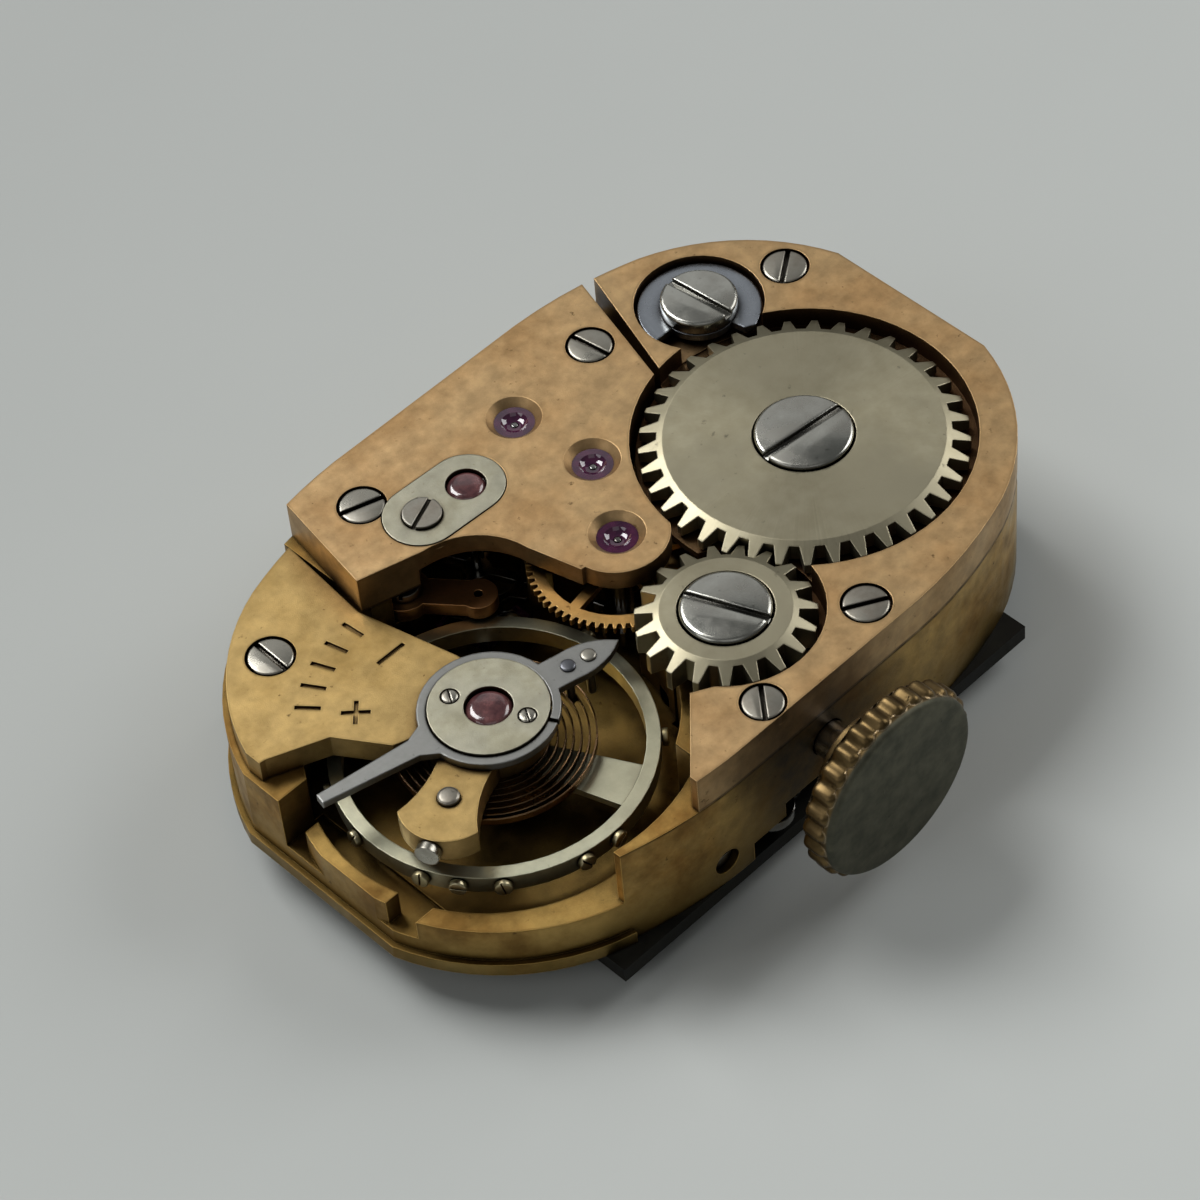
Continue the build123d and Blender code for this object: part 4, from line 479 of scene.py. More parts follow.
def jewel_glass(name, base, deep, rough=0.06):
    """Synthetic ruby: coloured glass that stays readable where it is thick."""
    finish = Finish(name, 0.0)
    cloud = noise(finish.tree, finish.coordinates, 3.0, 4, (-900, 200))
    veins = ramp(finish.tree, cloud, ((0.35, 0.0), (0.65, 1.0)), (-700, 200))
    finish.link(mix(finish.tree, veins, base, deep, (-400, 200)), "Base Color")
    finish.shader.inputs["Roughness"].default_value = rough
    finish.shader.inputs["IOR"].default_value = 1.76
    finish.shader.inputs["Transmission Weight"].default_value = 0.35
    finish.shader.inputs["Coat Weight"].default_value = 0.6
    finish.shader.inputs["Coat Roughness"].default_value = 0.04
    return finish.material


def dial_lacquer(name, groups, base, dust):
    """Dark matte lacquer with dust."""
    finish = Finish(name, 0.0)
    stains = finish.group(groups["stains"], (-1050, 200), Blotch_size=0.7, Pit_size=5.0)
    finish.link(mix(finish.tree, stains["Blotch"], base, dust, (-400, 200)), "Base Color")
    finish.roughness(stains["Blotch"], 0.45, 0.75)
    finish.shader.inputs["Specular IOR Level"].default_value = 0.15
    finish.bump(stains["Grain"], 0.2, 0.01 * MM)
    return finish.material


# Where the painted shade on the floor's paper starts and where it is darkest
FLOOR_SHADE_START, FLOOR_SHADE_FULL = -16, 26


def floor_paper(name):
    """Pale paper with painted shade that darkens it a little towards the far side."""
    finish = Finish(name, 0.0)
    tree = finish.tree
    depth = separate(tree, finish.coordinates, (-1100, 0))["Y"]
    back = map_range(tree, depth, FLOOR_SHADE_START * MM, FLOOR_SHADE_FULL * MM, (-900, 0))
    grain = noise(tree, finish.coordinates, 0.05, 4, (-700, 200))
    paper = mix(tree, grain, (0.53, 0.555, 0.535), (0.58, 0.60, 0.58), (-500, 200))
    # Painted shade: the paper darkens towards the far side
    far = mix(tree, 1.0, paper, (0.80, 0.80, 0.80), (-350, 0), "MULTIPLY")
    finish.link(mix(tree, back, paper, far, (-200, 200)), "Base Color")
    finish.shader.inputs["Roughness"].default_value = 0.9
    return finish.material


def dress(nodes, material):
    """Puts a material on every slot of the named CAD nodes."""
    for name in nodes:
        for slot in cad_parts[name].material_slots:
            slot.material = material


def colour_setting(name, description, default):
    """A base colour that a user may change."""
    return bpy.props.FloatVectorProperty(
        name=name, description=description, subtype="COLOR", size=3, min=0, max=1, default=default,
    )


def angle_setting(name, description, degrees):
    """An angle that a user may change."""
    return bpy.props.FloatProperty(
        name=name, description=description, subtype="ANGLE", default=math.radians(degrees),
    )


def length_setting(name, description, default):
    """A length that a user may change, with its default in millimetres."""
    return bpy.props.FloatProperty(name=name, description=description, unit="LENGTH", default=default * MM)


def count_setting(name, description, default, low, high):
    """A whole number that a user may change."""
    return bpy.props.IntProperty(name=name, description=description, default=default, min=low, max=high)


class MovementColours(bpy.types.PropertyGroup):
    """Base colours of the movement's metals and stones."""

    bridge: colour_setting("Bridge gilt", "Rose gilt of the bridges", (0.56, 0.375, 0.185))
    cock: colour_setting("Cock gilt", "Yellower gilt of the balance cock", (0.48, 0.33, 0.13))
    plate: colour_setting("Plate brass", "Brass of the main plate", (0.54, 0.345, 0.105))
    wheel: colour_setting("Wheel gilt", "Gilt of the train wheels", (0.80, 0.50, 0.18))
    copper: colour_setting("Copper gilt", "Redder gilt of the pallet bridge", (0.66, 0.34, 0.14))
    steel: colour_setting("Steel", "Polished steel of the screws", (0.44, 0.42, 0.36))
    large_steel: colour_setting("Large screws", "Steel of the wheels' screws", (0.54, 0.54, 0.49))
    pinion: colour_setting("Pinion steel", "Darker steel inside the movement", (0.36, 0.36, 0.35))
    satin: colour_setting("Satin steel", "Satin steel of the winding wheels", (0.525, 0.478, 0.335))
    click: colour_setting("Click steel", "Bluish steel of the click", (0.40, 0.43, 0.47))
    regulator: colour_setting("Regulator steel", "Grey steel of the regulator", (0.30, 0.30, 0.285))
    spring: colour_setting("Spring metal", "Reddish metal of the hairspring", (0.66, 0.40, 0.20))
    dark_pin: colour_setting("Dark pin", "Blued steel of the inner curb pin", (0.16, 0.165, 0.18))
    nickel: colour_setting("Balance nickel", "Greenish nickel of the balance", (0.56, 0.55, 0.40))
    end_piece: colour_setting("End piece nickel", "Nickel of the cap plates", (0.45, 0.43, 0.33))
    timing: colour_setting("Timing screws", "Gilt of the balance's screws", (0.58, 0.52, 0.34))
    ruby: colour_setting("Ruby", "Purple ruby of the pierced jewels", (0.11, 0.016, 0.065))
    cap_ruby: colour_setting("Cap ruby", "Paler ruby of the cap jewels", (0.26, 0.10, 0.10))
    dial: colour_setting("Dial", "Dark lacquer of the dial", (0.006, 0.006, 0.005))


class MovementSizes(bpy.types.PropertyGroup):
    """Counts of the fine parts, and the sizes of the stage."""

    spring_turns: count_setting("Hairspring turns", "Coils of the hairspring", 11, 4, 16)
    crown_flutes: count_setting("Crown flutes", "Grooves round the crown", 28, 12, 48)
    floor_size: length_setting("Floor size", "Side of the square floor", 600)
    view_distance: length_setting("Camera distance", "From the camera to its aim", 86.94)
    view_azimuth: angle_setting("Camera azimuth", "Turn of the view about the upright axis", -40.5)
    view_elevation: angle_setting("Camera elevation", "Height of the view over the horizon", 49.1)
    view_roll: angle_setting("Camera roll", "Tilt of the picture", -5.9)
    focal_length: bpy.props.FloatProperty(
        name="Focal length", description="Lens for a 36 mm wide picture", default=126,
    )


BRIDGES = ("barrel_bridge", "train_bridge")
POLISHED = ("bridge_screws", "small_screws", "setting_lever_screw", "click_screw", "balance_cap_screws",
            "stud_screw", "dial_screws", "hairspring_stud")
GILT_WHEELS = ("centre_wheel", "third_wheel", "fourth_wheel", "minute_wheel", "hour_wheel", "barrel_drum",
               "barrel_cover", "roller", "collet")
DARK_STEEL = ("centre_arbor", "third_pinion", "fourth_pinion", "escape_pinion", "pallet_arbor",
              "balance_staff", "barrel_arbor", "winding_pinion", "sliding_pinion", "winding_stem",
              "cannon_pinion", "setting_wheel", "setting_lever", "yoke", "setting_lever_spring",
              "click_spring", "mainspring", "hairspring", "escape_wheel", "pallet_fork")
STONES = ("train_jewels", "pivot_jewels", "pallet_stones", "impulse_jewel")


class MOVEMENT_OT_finishes(bpy.types.Operator):
    """Gives each CAD node its procedural finish"""

    bl_idname = "movement.finishes"
    bl_label = "Finishes"

    def execute(self, context):
        """Makes all materials, also those of the pieces that the next steps add."""
        settings = context.scene.movement_colours
        colours = {name: tuple(getattr(settings, name)) for name in MovementColours.__annotations__}
        groups = {"stains": stain_group(), "edges": edge_group(), "grime": painted_shade_group()}
        self.gilt(colours, groups)
        self.steel(colours, groups)
        self.nickel(colours, groups)
        dress(STONES, jewel_glass("Ruby", colours["ruby"], (0.045, 0.006, 0.035)))
        jewel_glass("Cap ruby", colours["cap_ruby"], (0.09, 0.03, 0.035), 0.16)
        crown_metal("Worn gilt", groups)
        dress(("dial",), dial_lacquer("Dial lacquer", groups, colours["dial"], (0.018, 0.017, 0.012)))
        return {"FINISHED"}

    def gilt(self, colours, groups):
        """Bridges, cock, main plate, pallet bridge and wheels."""
        dress(BRIDGES, aged_metal(
            "Bridge gilt", groups, colours["bridge"], tarnish=(0.41, 0.26, 0.12),
            pit=(0.085, 0.045, 0.018), rough=(0.40, 0.58), mottle=0.72, rim=0.16, seam=PLATE_TOP,
        ))
        dress(("balance_cock",), aged_metal(
            "Cock gilt", groups, colours["cock"], tarnish=(0.36, 0.24, 0.085),
            pit=(0.10, 0.055, 0.02), rough=(0.40, 0.58), mottle=0.76, rim=0.13,
        ))
        # Main plate: near-black painted shade in its recesses, broken into lit patches, and painted shade
        # low on its walls
        dress(("main_plate",), aged_metal(
            "Plate brass", groups, colours["plate"], tarnish=(0.30, 0.165, 0.045),
            pit=(0.07, 0.035, 0.012), rough=(0.36, 0.60), mottle=0.66, rim=0.14,
            grime=(0.010, 0.005, 0.002), reach=1.7, shade_breakup=0.75,
            low_shade=(-0.1, 1.6, (0.13, 0.095, 0.025)), seam=PLATE_TOP,
        ))
        dress(("pallet_bridge",), aged_metal(
            "Copper gilt", groups, colours["copper"], tarnish=(0.42, 0.19, 0.07),
            pit=(0.1, 0.05, 0.02), rough=(0.35, 0.5), reach=0.3,
        ))
        dress(GILT_WHEELS, aged_metal(
            "Wheel gilt", groups, colours["wheel"], tarnish=(0.60, 0.34, 0.11), pit=(0.2, 0.1, 0.03),
            rough=(0.28, 0.42), radius=0.02, grime=(0.06, 0.028, 0.008), reach=0.45,
        ))

    def steel(self, colours, groups):
        """Screws, pinions, winding wheels, click, regulator and hairspring."""
        for nodes, name, colour, shade, rough in (
            (POLISHED, "Screw steel", "steel", (0.25, 0.225, 0.185), (0.26, 0.40)),
            (DARK_STEEL, "Pinion steel", "pinion", (0.18, 0.16, 0.13), (0.10, 0.24)),
            (("click",), "Click steel", "click", (0.28, 0.30, 0.33), (0.22, 0.34)),
            (("regulator",), "Regulator steel", "regulator", (0.22, 0.22, 0.205), (0.34, 0.48)),
        ):
            dress(nodes, polished_steel(name, groups, colours[colour], shade, rough))
        polished_steel("Large screw steel", groups, colours["large_steel"], (0.38, 0.37, 0.33), (0.16, 0.30))
        polished_steel("Spring metal", groups, colours["spring"], (0.20, 0.12, 0.07), (0.2, 0.35), reach=1.3)
        polished_steel("Dark pin", groups, colours["dark_pin"], (0.10, 0.10, 0.11), (0.3, 0.45))
        for node in ("ratchet_wheel", "crown_wheel"):
            dress((node,), sunburst_steel(f"Satin {node}", groups, centre_of(node), colours["satin"]))

    def nickel(self, colours, groups):
        """Cap plates, balance wheel and its timing screws."""
        dress(("balance_cap_plate", "escape_cap_plate"), aged_metal(
            "End piece nickel", groups, colours["end_piece"], tarnish=(0.34, 0.32, 0.23),
            pit=(0.22, 0.19, 0.13), rough=(0.36, 0.50), blotch=0.9, pits=7.0, mottle=0.84,
        ))
        dress(("balance_wheel",), aged_metal(
            "Balance nickel", groups, colours["nickel"], tarnish=(0.44, 0.42, 0.30),
            pit=(0.30, 0.28, 0.18), rough=(0.34, 0.48), blotch=0.4, pits=2.0, mottle=0.88,
            radius=0.025, grime=(0.09, 0.08, 0.05), reach=0.35,
        ))
        aged_metal(
            "Timing screws", groups, colours["timing"], tarnish=(0.40, 0.34, 0.18),
            pit=(0.14, 0.10, 0.04), radius=0.03, reach=0.3,
        )


# Modelling helpers. Fine parts are shaped in millimetres and settled into metres at the end.
def only(piece):
    """Makes one object the selected and active one."""
    bpy.ops.object.select_all(action="DESELECT")
    piece.select_set(True)
    bpy.context.view_layer.objects.active = piece


def pick(test, kind="FACE"):
    """In edit mode, selects only the faces or vertices whose place and normal pass a test."""
    bpy.ops.mesh.select_mode(type=kind)
    bpy.ops.mesh.select_all(action="DESELECT")
    bpy.ops.object.mode_set(mode="OBJECT")
    mesh = bpy.context.object.data
    for item in mesh.polygons if kind == "FACE" else mesh.vertices:
        item.select = test(item.center if kind == "FACE" else item.co, item.normal)
    bpy.ops.object.mode_set(mode="EDIT")


def faces_up(middle, normal):
    """Whether a face looks upwards."""
    return normal.z > 0.9


def faces_front(middle, normal):
    """Whether a face looks away from the movement along the stem."""
    return normal.y < -0.9


def cylinder(radius, low, high, place=(0, 0), sides=64):
    """Upright cylinder between two heights."""
    bpy.ops.object.select_all(action="DESELECT")
    middle = (*place, (low + high) / 2)
    bpy.ops.mesh.primitive_cylinder_add(vertices=sides, radius=radius, depth=high - low, location=middle)
    bpy.ops.object.transform_apply(location=True)
    return bpy.context.object


def soften(test, width, segments, profile):
    """Bevels the rims of the active piece's faces that pass a test."""
    bpy.ops.object.mode_set(mode="EDIT")
    pick(test)
    bpy.ops.mesh.bevel(offset=width, segments=segments, profile=profile, affect="EDGES")
    bpy.ops.object.mode_set(mode="OBJECT")


def apply_modifier(piece, kind, **values):
    """Adds a modifier, sets it and applies it."""
    made = piece.modifiers.new(kind.title(), kind)
    for name, value in values.items():
        setattr(made, name, value)
    only(piece)
    bpy.ops.object.modifier_apply(modifier=made.name)


def join(pieces):
    """Joins several pieces into the first."""
    only(pieces[0])
    for piece in pieces[1:]:
        piece.select_set(True)
    bpy.ops.object.join()
    return pieces[0]


def copy_of(piece):
    """A copy with its own mesh."""
    only(piece)
    bpy.ops.object.duplicate()
    return bpy.context.object


def put(piece, place, turn):
    """Turns a piece by degrees about the three axes and moves it to its place."""
    only(piece)
    piece.rotation_euler = [math.radians(angle) for angle in turn]
    piece.location = place
    bpy.ops.object.transform_apply(location=True, rotation=True)
    return piece


def settle(piece, name, material, body, nodes=(), smooth=35):
    """Turns a finished piece from millimetres into metres and hangs it on its body."""
    only(piece)
    piece.scale = (MM, MM, MM)
    bpy.ops.object.transform_apply(location=True, rotation=True, scale=True)
    bpy.ops.object.shade_smooth_by_angle(angle=math.radians(smooth))
    piece.name = name
    piece.data.name = name
    piece.data.materials.clear()
    piece.data.materials.append(bpy.data.materials[material])
    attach(piece, body)
    if nodes:
        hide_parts(*nodes)


# Slotted screws, with the directions of their slots in degrees, from left to right
SHARP_EDGE = 0.012
BRIDGE_SCREW_SLOTS = (88, 161, 150, 98, 35)
CAP_SCREW_SLOT = 60


def slotted_head(solid, thick, shank, turn=0, chamfer=0.10, slot_share=0.22, slot_depth=0.12):
    """Screw with a polished chamfer and a straight slot, in the place of a solid.

    chamfer and slot_share are shares of the head's radius, and slot_depth is in millimetres.
    """
    radius, top = solid.radius, solid.high
    head = cylinder(radius, top - thick, top, sides=72)
    soften(faces_up, radius * chamfer, 3, 0.55)
    bpy.ops.mesh.primitive_cube_add(size=1, location=(0, 0, top))
    cutter = bpy.context.object
    cutter.scale = (radius * 3, radius * slot_share, slot_depth * 2)
    bpy.ops.object.transform_apply(scale=True)
    apply_modifier(head, "BOOLEAN", operation="DIFFERENCE", object=cutter, solver="EXACT")
    bpy.data.objects.remove(cutter)
    apply_modifier(head, "BEVEL", width=SHARP_EDGE, segments=2, limit_method="ANGLE",
                   angle_limit=math.radians(50))
    pin = cylinder(shank, solid.low, top - thick, sides=32)
    return put(join([head, pin]), (*solid.place, 0), (0, 0, turn))


class MOVEMENT_OT_screws(bpy.types.Operator):
    """Shapes the slotted screw heads with their polished chamfers"""

    bl_idname = "movement.screws"
    bl_label = "Screws"

    def execute(self, context):
        """The bridges' heads, the setting lever's, the three large ones and the balance cap's."""
        bridge = [
            slotted_head(solid, thick=0.28, shank=0.26, turn=turn)
            for solid, turn in zip(solids_of("bridge_screws"), BRIDGE_SCREW_SLOTS)
        ]
        settle(join(bridge), "bridge_screw_heads", "Screw steel", "movement",
               ("bridge_screws",))
        lever = slotted_head(*solids_of("setting_lever_screw"), thick=0.28, shank=0.26, turn=50)
        settle(lever, "lever_screw_head", "Screw steel", "movement",
               ("setting_lever_screw",))
        for node, body, thick, shank, turn, chamfer, slot_share in (
            ("click_screw", "movement", 0.32, 0.26, 95, 0.09, 0.22),
            ("ratchet_screw", "ratchet", 0.40, 0.24, 174, 0.07, 0.17),
            ("crown_wheel_screw", "movement", 0.49, 0.26, 112, 0.11, 0.18),
        ):
            head = slotted_head(*solids_of(node), thick, shank, turn, chamfer, slot_share)
            settle(head, f"{node}_head", "Large screw steel", body, (node,))
        caps = [
            slotted_head(solid, 0.15, 0.11, CAP_SCREW_SLOT, chamfer=0.30, slot_share=0.16, slot_depth=0.05)
            for solid in solids_of("balance_cap_screws")
        ]
        settle(join(caps), "end_piece_screw_heads", "Screw steel", "movement",
               ("balance_cap_screws",))
        return {"FINISHED"}


# Oil cups and domes of the jewels, as shares of the jewel's radius
CUP_RIM = 0.34
CUP_RING = 0.105
CUP_STEPS = (0.10, 0.06, 0.03, 0.01)
PIVOT_RIM = 0.03
PIVOT_DEPTH = 0.25
CAP_DOME = 0.42


class MOVEMENT_OT_jewels(bpy.types.Operator):
    """Shapes the pierced jewels with their oil cups and the domed cap jewels"""

    bl_idname = "movement.jewels"
    bl_label = "Jewels"

    def execute(self, context):
        """One piece for the pierced jewels, and one for each cap jewel."""
        cups = [self.pierced(solid) for solid in solids_of("train_jewels")]
        settle(join(cups), "pierced_jewels", "Ruby", "movement", ("train_jewels",))
        for node in ("escape_cap_jewel", "balance_cap_jewel"):
            stone = self.domed(*solids_of(node))
            settle(stone, f"{node}_stone", "Cap ruby", "movement", (node,), smooth=60)
        return {"FINISHED"}

    def pierced(self, solid):
        """One jewel: a flat rim, a hollowed cup and the hole of the pivot."""
        stone = cylinder(solid.radius, solid.low, solid.high, solid.place)
        bpy.ops.object.mode_set(mode="EDIT")
        pick(faces_up)
        bpy.ops.mesh.inset(thickness=solid.radius * CUP_RIM)
        for depth in CUP_STEPS:
            bpy.ops.mesh.inset(thickness=solid.radius * CUP_RING)
            bpy.ops.transform.translate(value=(0, 0, -solid.radius * depth))
        bpy.ops.mesh.inset(thickness=solid.radius * PIVOT_RIM)
        down = {"value": (0, 0, -solid.radius * PIVOT_DEPTH)}
        bpy.ops.mesh.extrude_region_move(TRANSFORM_OT_translate=down)
        bpy.ops.object.mode_set(mode="OBJECT")
        return stone

    def domed(self, solid):
        """One cap jewel with its rounded crown."""
        stone = cylinder(solid.radius, solid.low, solid.high, solid.place, 72)
        soften(faces_up, solid.radius * CAP_DOME, 6, 0.5)
        return stone


# Hairspring and the pins that hold its outer coil, in millimetres and degrees
PIN_TURN = -13
INNER_PIN, OUTER_PIN = 1.92, 2.42
SPRING_INNER = 0.345
SPRING_OUTER = (INNER_PIN + OUTER_PIN) / 2
SPRING_HEIGHT = millimetres(centre_of("hairspring").z)
SPRING_HALF_WIDTH = 0.09
SPRING_THICKNESS = 0.034
POINTS_PER_TURN = 56
TAIL_STEP = 4
TAIL_POINTS = 34


class MOVEMENT_OT_hairspring(bpy.types.Operator):
    """Winds the flat spiral spring from the collet to the stud"""

    bl_idname = "movement.hairspring"
    bl_label = "Hairspring"

    def execute(self, context):
        """A flat strip along the spiral, thickened into a band."""
        points = self.spiral(context.scene.movement_sizes.spring_turns)
        strip = bpy.data.curves.new("hairspring", "CURVE")
        strip.dimensions = "3D"
        strip.extrude = SPRING_HALF_WIDTH
        line = strip.splines.new("POLY")
        line.points.add(len(points) - 1)
        for point, (radius, turn) in zip(line.points, points):
            point.co = (*about_balance(radius, turn), SPRING_HEIGHT, 1)
        coil = bpy.data.objects.new("hairspring_coils", strip)
        context.collection.objects.link(coil)
        only(coil)
        bpy.ops.object.convert(target="MESH")
        coil = context.object
        apply_modifier(coil, "SOLIDIFY", thickness=SPRING_THICKNESS, offset=0)
        settle(coil, "hairspring_coils", "Spring metal", "movement", ("hairspring",))
        return {"FINISHED"}

    def spiral(self, turns):
        """Radius and direction of each point: the coils, then a round tail from the pins to the stud."""
        steps = POINTS_PER_TURN * turns
        shares = [step / steps for step in range(steps + 1)]
        coils = [
            (SPRING_INNER + (SPRING_OUTER - SPRING_INNER) * share, PIN_TURN + 360 * turns * (1 - share))
            for share in shares
        ]
        tail = [(SPRING_OUTER, PIN_TURN - TAIL_STEP * step) for step in range(1, TAIL_POINTS + 1)]
        return coils + tail


# Timing screws, with their directions as far as the photo shows them
RIM_RADIUS = 3.483
RIM_HEIGHT = millimetres(centre_of("balance_screws").z)
TIMING_SCREW_TURNS = (12, 40, 54, 82, 100, 128, 150, 172, 201, 214, 229, 258, 272, 318)
TIMING_SCREW = Solid(place=(0, 0), radius=0.19, low=-0.10, high=0.15)
# Direction of the slot at 0 degrees of the rim, and its gain for each degree from there
TIMING_SLOT, TIMING_SLOT_GAIN = 30, 7
TIMING_HEAD = 0.13
TIMING_SHANK = 0.09


class MOVEMENT_OT_timing_screws(bpy.types.Operator):
    """Shapes the round timing screws of the balance rim"""

    bl_idname = "movement.timing_screws"
    bl_label = "Timing screws"

    def execute(self, context):
        """One upright screw is modelled, and its copies are turned and laid down at the rim."""
        pattern = slotted_head(TIMING_SCREW, TIMING_HEAD, TIMING_SHANK, chamfer=0.16, slot_share=0.2,
                               slot_depth=0.04)
        heads = []
        for turn in TIMING_SCREW_TURNS:
            head = put(copy_of(pattern), (0, 0, 0), (0, 0, TIMING_SLOT + TIMING_SLOT_GAIN * turn))
            heads.append(put(head, (*about_balance(RIM_RADIUS, turn), RIM_HEIGHT), (0, 90, turn)))
        bpy.data.objects.remove(pattern)
        settle(join(heads), "timing_screw_heads", "Timing screws", "balance",
               ("balance_screws",))
        return {"FINISHED"}


# Crown
CROWN_RADIUS = 2.25
FACE_RADIUS = 2.13
FACE_THICKNESS = 0.22
HUB_RADIUS = 1.05
HUB_OVERLAP = 0.02
RING_BEVEL = 0.15
FACE_BEVEL = 0.14
GROOVE_REACH = 0.12
GROOVE_STEPS = 8
# Share of the radius that is left at each step from a groove's middle to its ridge
GROOVE_PROFILE = (0.946, 0.952, 0.976, 0.994)


class MOVEMENT_OT_crown(bpy.types.Operator):
    """Shapes the crown with its rounded flutes and worn rim"""

    bl_idname = "movement.crown"
    bl_label = "Crown"

    def execute(self, context):
        """A fluted ring, a smooth face let into it and the hub behind."""
        flutes = context.scene.movement_sizes.crown_flutes
        ring = self.fluted_ring(flutes)
        face = self.disc(FACE_RADIUS, CROWN_FRONT + FACE_THICKNESS, CROWN_FRONT, 128)
        soften(faces_front, FACE_BEVEL, 5, 0.5)
        hub = self.disc(HUB_RADIUS, CROWN_REAR, STEM_END - HUB_OVERLAP, 64)
        settle(join([ring, face, hub]), "crown_body", "Worn gilt", "stem", ("crown",))
        return {"FINISHED"}

    def disc(self, radius, rear, front, sides):
        """Disc across the stem's axis."""
        bpy.ops.object.select_all(action="DESELECT")
        bpy.ops.mesh.primitive_cylinder_add(
            vertices=sides, radius=radius, depth=rear - front,
            location=(0, (rear + front) / 2, CROWN_HEIGHT), rotation=(math.radians(90), 0, 0),
        )
        bpy.ops.object.transform_apply(location=True, rotation=True)
        return bpy.context.object

    def fluted_ring(self, flutes):
        """Ring with rounded rims, whose vertices are drawn in step by step to form the grooves."""
        around = flutes * GROOVE_STEPS
        ring = self.disc(CROWN_RADIUS, STEM_END, RING_FRONT, around)
        soften(lambda middle, normal: abs(normal.y) > 0.9, RING_BEVEL, 4, 0.5)

        def groove_step(point):
            """Steps from the nearest groove's middle, or None away from the rim."""
            if math.hypot(point.x, point.z - CROWN_HEIGHT) < CROWN_RADIUS - GROOVE_REACH:
                return None
            step = round(math.atan2(point.z - CROWN_HEIGHT, point.x) / math.tau * around)
            return min(step % GROOVE_STEPS, -step % GROOVE_STEPS)

        bpy.ops.object.mode_set(mode="EDIT")
        for level, left in enumerate(GROOVE_PROFILE):
            pick(lambda point, normal, level=level: groove_step(point) == level, "VERT")
            bpy.ops.transform.resize(value=(left, 1, left), center_override=(0, 0, CROWN_HEIGHT))
        bpy.ops.object.mode_set(mode="OBJECT")
        return ring


# Rounded heads over the flat ends of the curb pins and of the stud
PIN_HEAD_RADIUS = 0.17
PIN_HEAD_ROUNDING = 0.04
PIN_HEAD_SUNK, PIN_HEAD_PROUD = 0.02, 0.03
STUD_ROUNDING = 0.07
STUD_COVER = 0.005
STUD_PROUD = 0.02


class MOVEMENT_OT_pin_heads(bpy.types.Operator):
    """Rounds the heads of the curb pins and of the stud"""

    bl_idname = "movement.pin_heads"
    bl_label = "Pin heads"

    def execute(self, context):
        """Two thin heads on the regulator and one on the cock."""
        top = span_of("regulator", "Z")[1]
        for name, distance, material in (
            ("inner_pin_head", INNER_PIN, "Dark pin"),
            ("outer_pin_head", OUTER_PIN, "Screw steel"),
        ):
            place = about_balance(distance, PIN_TURN)
            head = cylinder(PIN_HEAD_RADIUS, top - PIN_HEAD_SUNK, top + PIN_HEAD_PROUD, place, 40)
            soften(faces_up, PIN_HEAD_ROUNDING, 4, 0.5)
            settle(head, name, material, "regulator_body")
        (stud,) = solids_of("hairspring_stud")
        head = cylinder(stud.radius + STUD_COVER, COCK_TOP, stud.high + STUD_PROUD, stud.place, 48)
        soften(faces_up, STUD_ROUNDING, 4, 0.5)
        settle(head, "stud_head", "Screw steel", "movement")
        return {"FINISHED"}


# Soft lamps: name, place and width in metres, power in watts
LAMPS = (
    ("key light", (-0.06, 0.48, 0.60), 0.40, 4.20),
    ("right light", (0.56, -0.12, 0.40), 0.40, 1.80),
    ("left light", (-0.60, 0.08, 0.40), 0.40, 0.60),
    ("front light", (-0.14, -0.20, 0.30), 0.25, 0.06),
    ("sheen light", (0.22, 0.22, 0.20), 0.20, 0.05),
)
SKY_COLOUR = (0.80, 0.83, 0.82, 1)
SKY_STRENGTH = 0.10
AIM = Vector((-1.57, -1.07, BRIDGE_TOP)) * MM


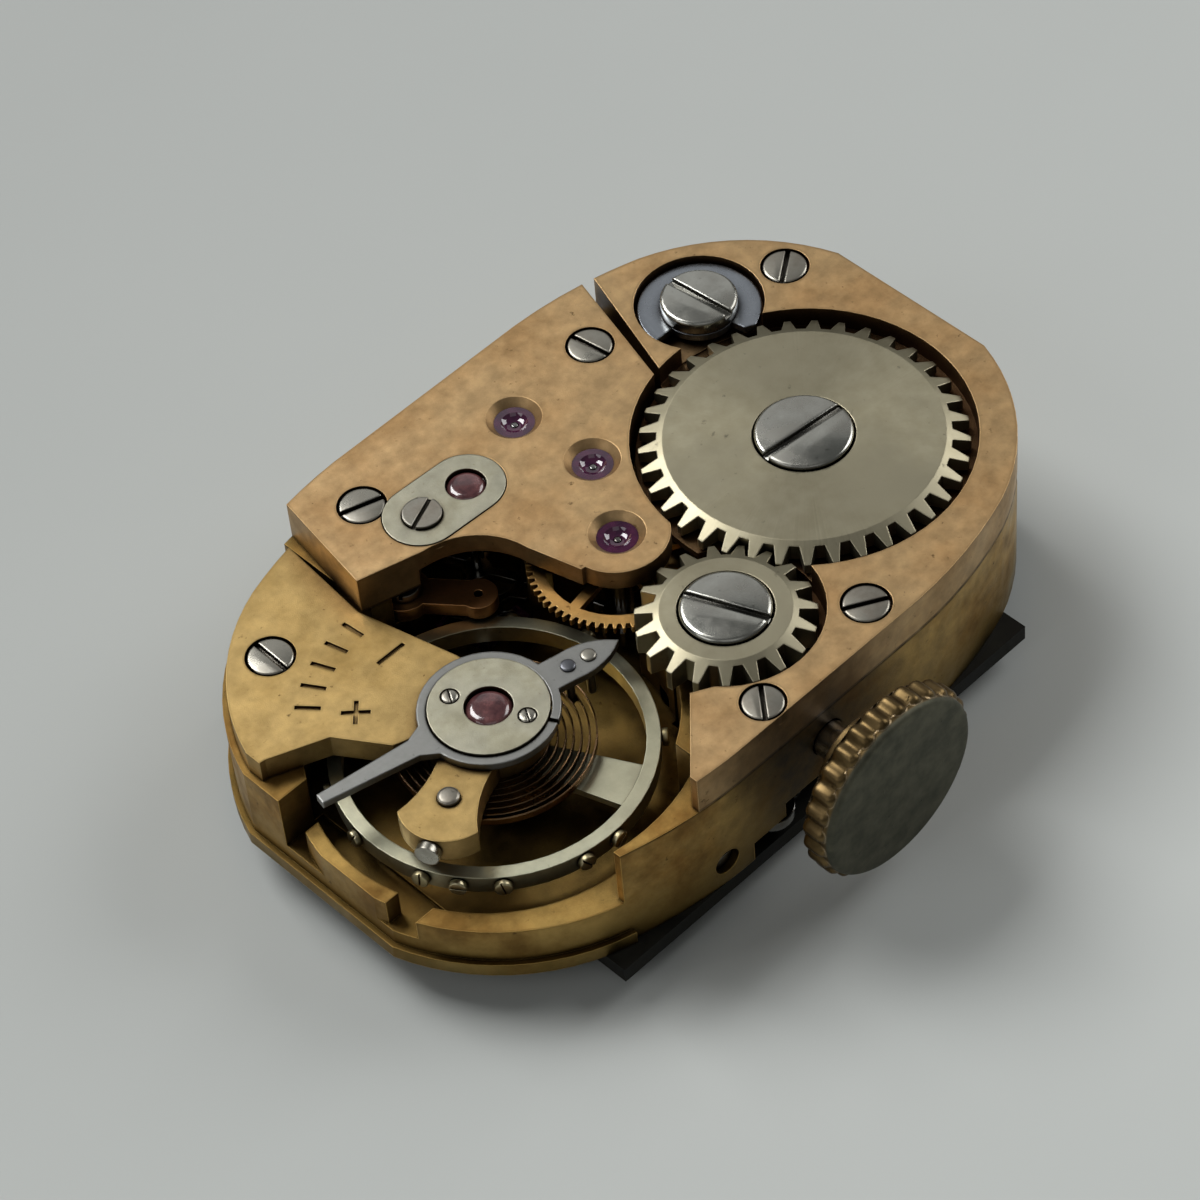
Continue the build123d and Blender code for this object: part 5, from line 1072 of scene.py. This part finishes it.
class MOVEMENT_OT_stage(bpy.types.Operator):
    """Sets the floor, the soft lights and the camera"""

    bl_idname = "movement.stage"
    bl_label = "Stage"

    def execute(self, context):
        """Everything that isn't part of the movement."""
        sizes = context.scene.movement_sizes
        self.floor(sizes.floor_size)
        for lamp in LAMPS:
            self.lamp(*lamp)
        self.sky(context.scene)
        self.camera(context.scene, sizes)
        context.scene.view_settings.view_transform = "Standard"
        return {"FINISHED"}

    def floor(self, size):
        """Plain paper at the foot of the movement's lowest post."""
        bpy.ops.mesh.primitive_plane_add(size=size, location=(0, 0, CAD_LOW.z))
        plane = bpy.context.object
        plane.name = "floor"
        bpy.ops.object.transform_apply(location=True)
        plane.data.materials.append(floor_paper("Floor paper"))

    def lamp(self, name, place, width, power):
        """One square soft lamp that looks at the middle of the movement."""
        bpy.ops.object.light_add(type="AREA", location=place)
        lamp = bpy.context.object
        lamp.name = name
        lamp.data.size = width
        lamp.data.energy = power
        lamp.rotation_mode = "QUATERNION"
        lamp.rotation_quaternion = Vector(place).to_track_quat("Z", "Y")

    def sky(self, scene):
        """Even dim light from all round."""
        world = bpy.data.worlds.new("Studio")
        scene.world = world
        world.use_nodes = True
        background = world.node_tree.nodes["Background"]
        background.inputs["Color"].default_value = SKY_COLOUR
        background.inputs["Strength"].default_value = SKY_STRENGTH

    def camera(self, scene, sizes):
        """Camera at the photo's viewing angle."""
        turn, rise = sizes.view_azimuth, sizes.view_elevation
        back = Vector((math.sin(turn) * math.cos(rise), -math.cos(turn) * math.cos(rise), math.sin(rise)))
        bpy.ops.object.camera_add(location=AIM + back * sizes.view_distance)
        camera = bpy.context.object
        camera.name = "photo camera"
        camera.data.lens = sizes.focal_length
        camera.data.sensor_width = 36
        camera.data.clip_start = 5 * MM
        camera.rotation_mode = "QUATERNION"
        roll = Matrix.Rotation(sizes.view_roll, 3, "Z").to_quaternion()
        camera.rotation_quaternion = (-back).to_track_quat("-Z", "Y") @ roll
        scene.camera = camera


STEPS = (
    MOVEMENT_OT_finishes,
    MOVEMENT_OT_screws,
    MOVEMENT_OT_jewels,
    MOVEMENT_OT_hairspring,
    MOVEMENT_OT_timing_screws,
    MOVEMENT_OT_crown,
    MOVEMENT_OT_pin_heads,
    MOVEMENT_OT_stage,
)


class MOVEMENT_PT_panel(bpy.types.Panel):
    """Sidebar panel that lists the steps"""

    bl_label = "Watch movement"
    bl_space_type = "VIEW_3D"
    bl_region_type = "UI"
    bl_category = "Movement"

    def draw(self, context):
        """One button for each step."""
        for step in STEPS:
            self.layout.operator(step.bl_idname)


CLASSES = (MovementColours, MovementSizes, *STEPS, MOVEMENT_PT_panel)


def register():
    """Registers the classes and hangs the settings on the scene."""
    for cls in CLASSES:
        bpy.utils.register_class(cls)
    bpy.types.Scene.movement_colours = bpy.props.PointerProperty(type=MovementColours)
    bpy.types.Scene.movement_sizes = bpy.props.PointerProperty(type=MovementSizes)


def unregister():
    """Takes the settings and the classes away again."""
    del bpy.types.Scene.movement_sizes
    del bpy.types.Scene.movement_colours
    for cls in reversed(CLASSES):
        bpy.utils.unregister_class(cls)


def main():
    """Runs all steps in order."""
    register()
    bpy.ops.object.select_all(action="DESELECT")
    bpy.ops.movement.finishes()
    bpy.ops.movement.screws()
    bpy.ops.movement.jewels()
    bpy.ops.movement.hairspring()
    bpy.ops.movement.timing_screws()
    bpy.ops.movement.crown()
    bpy.ops.movement.pin_heads()
    bpy.ops.movement.stage()


if __name__ == "__main__":
    main()
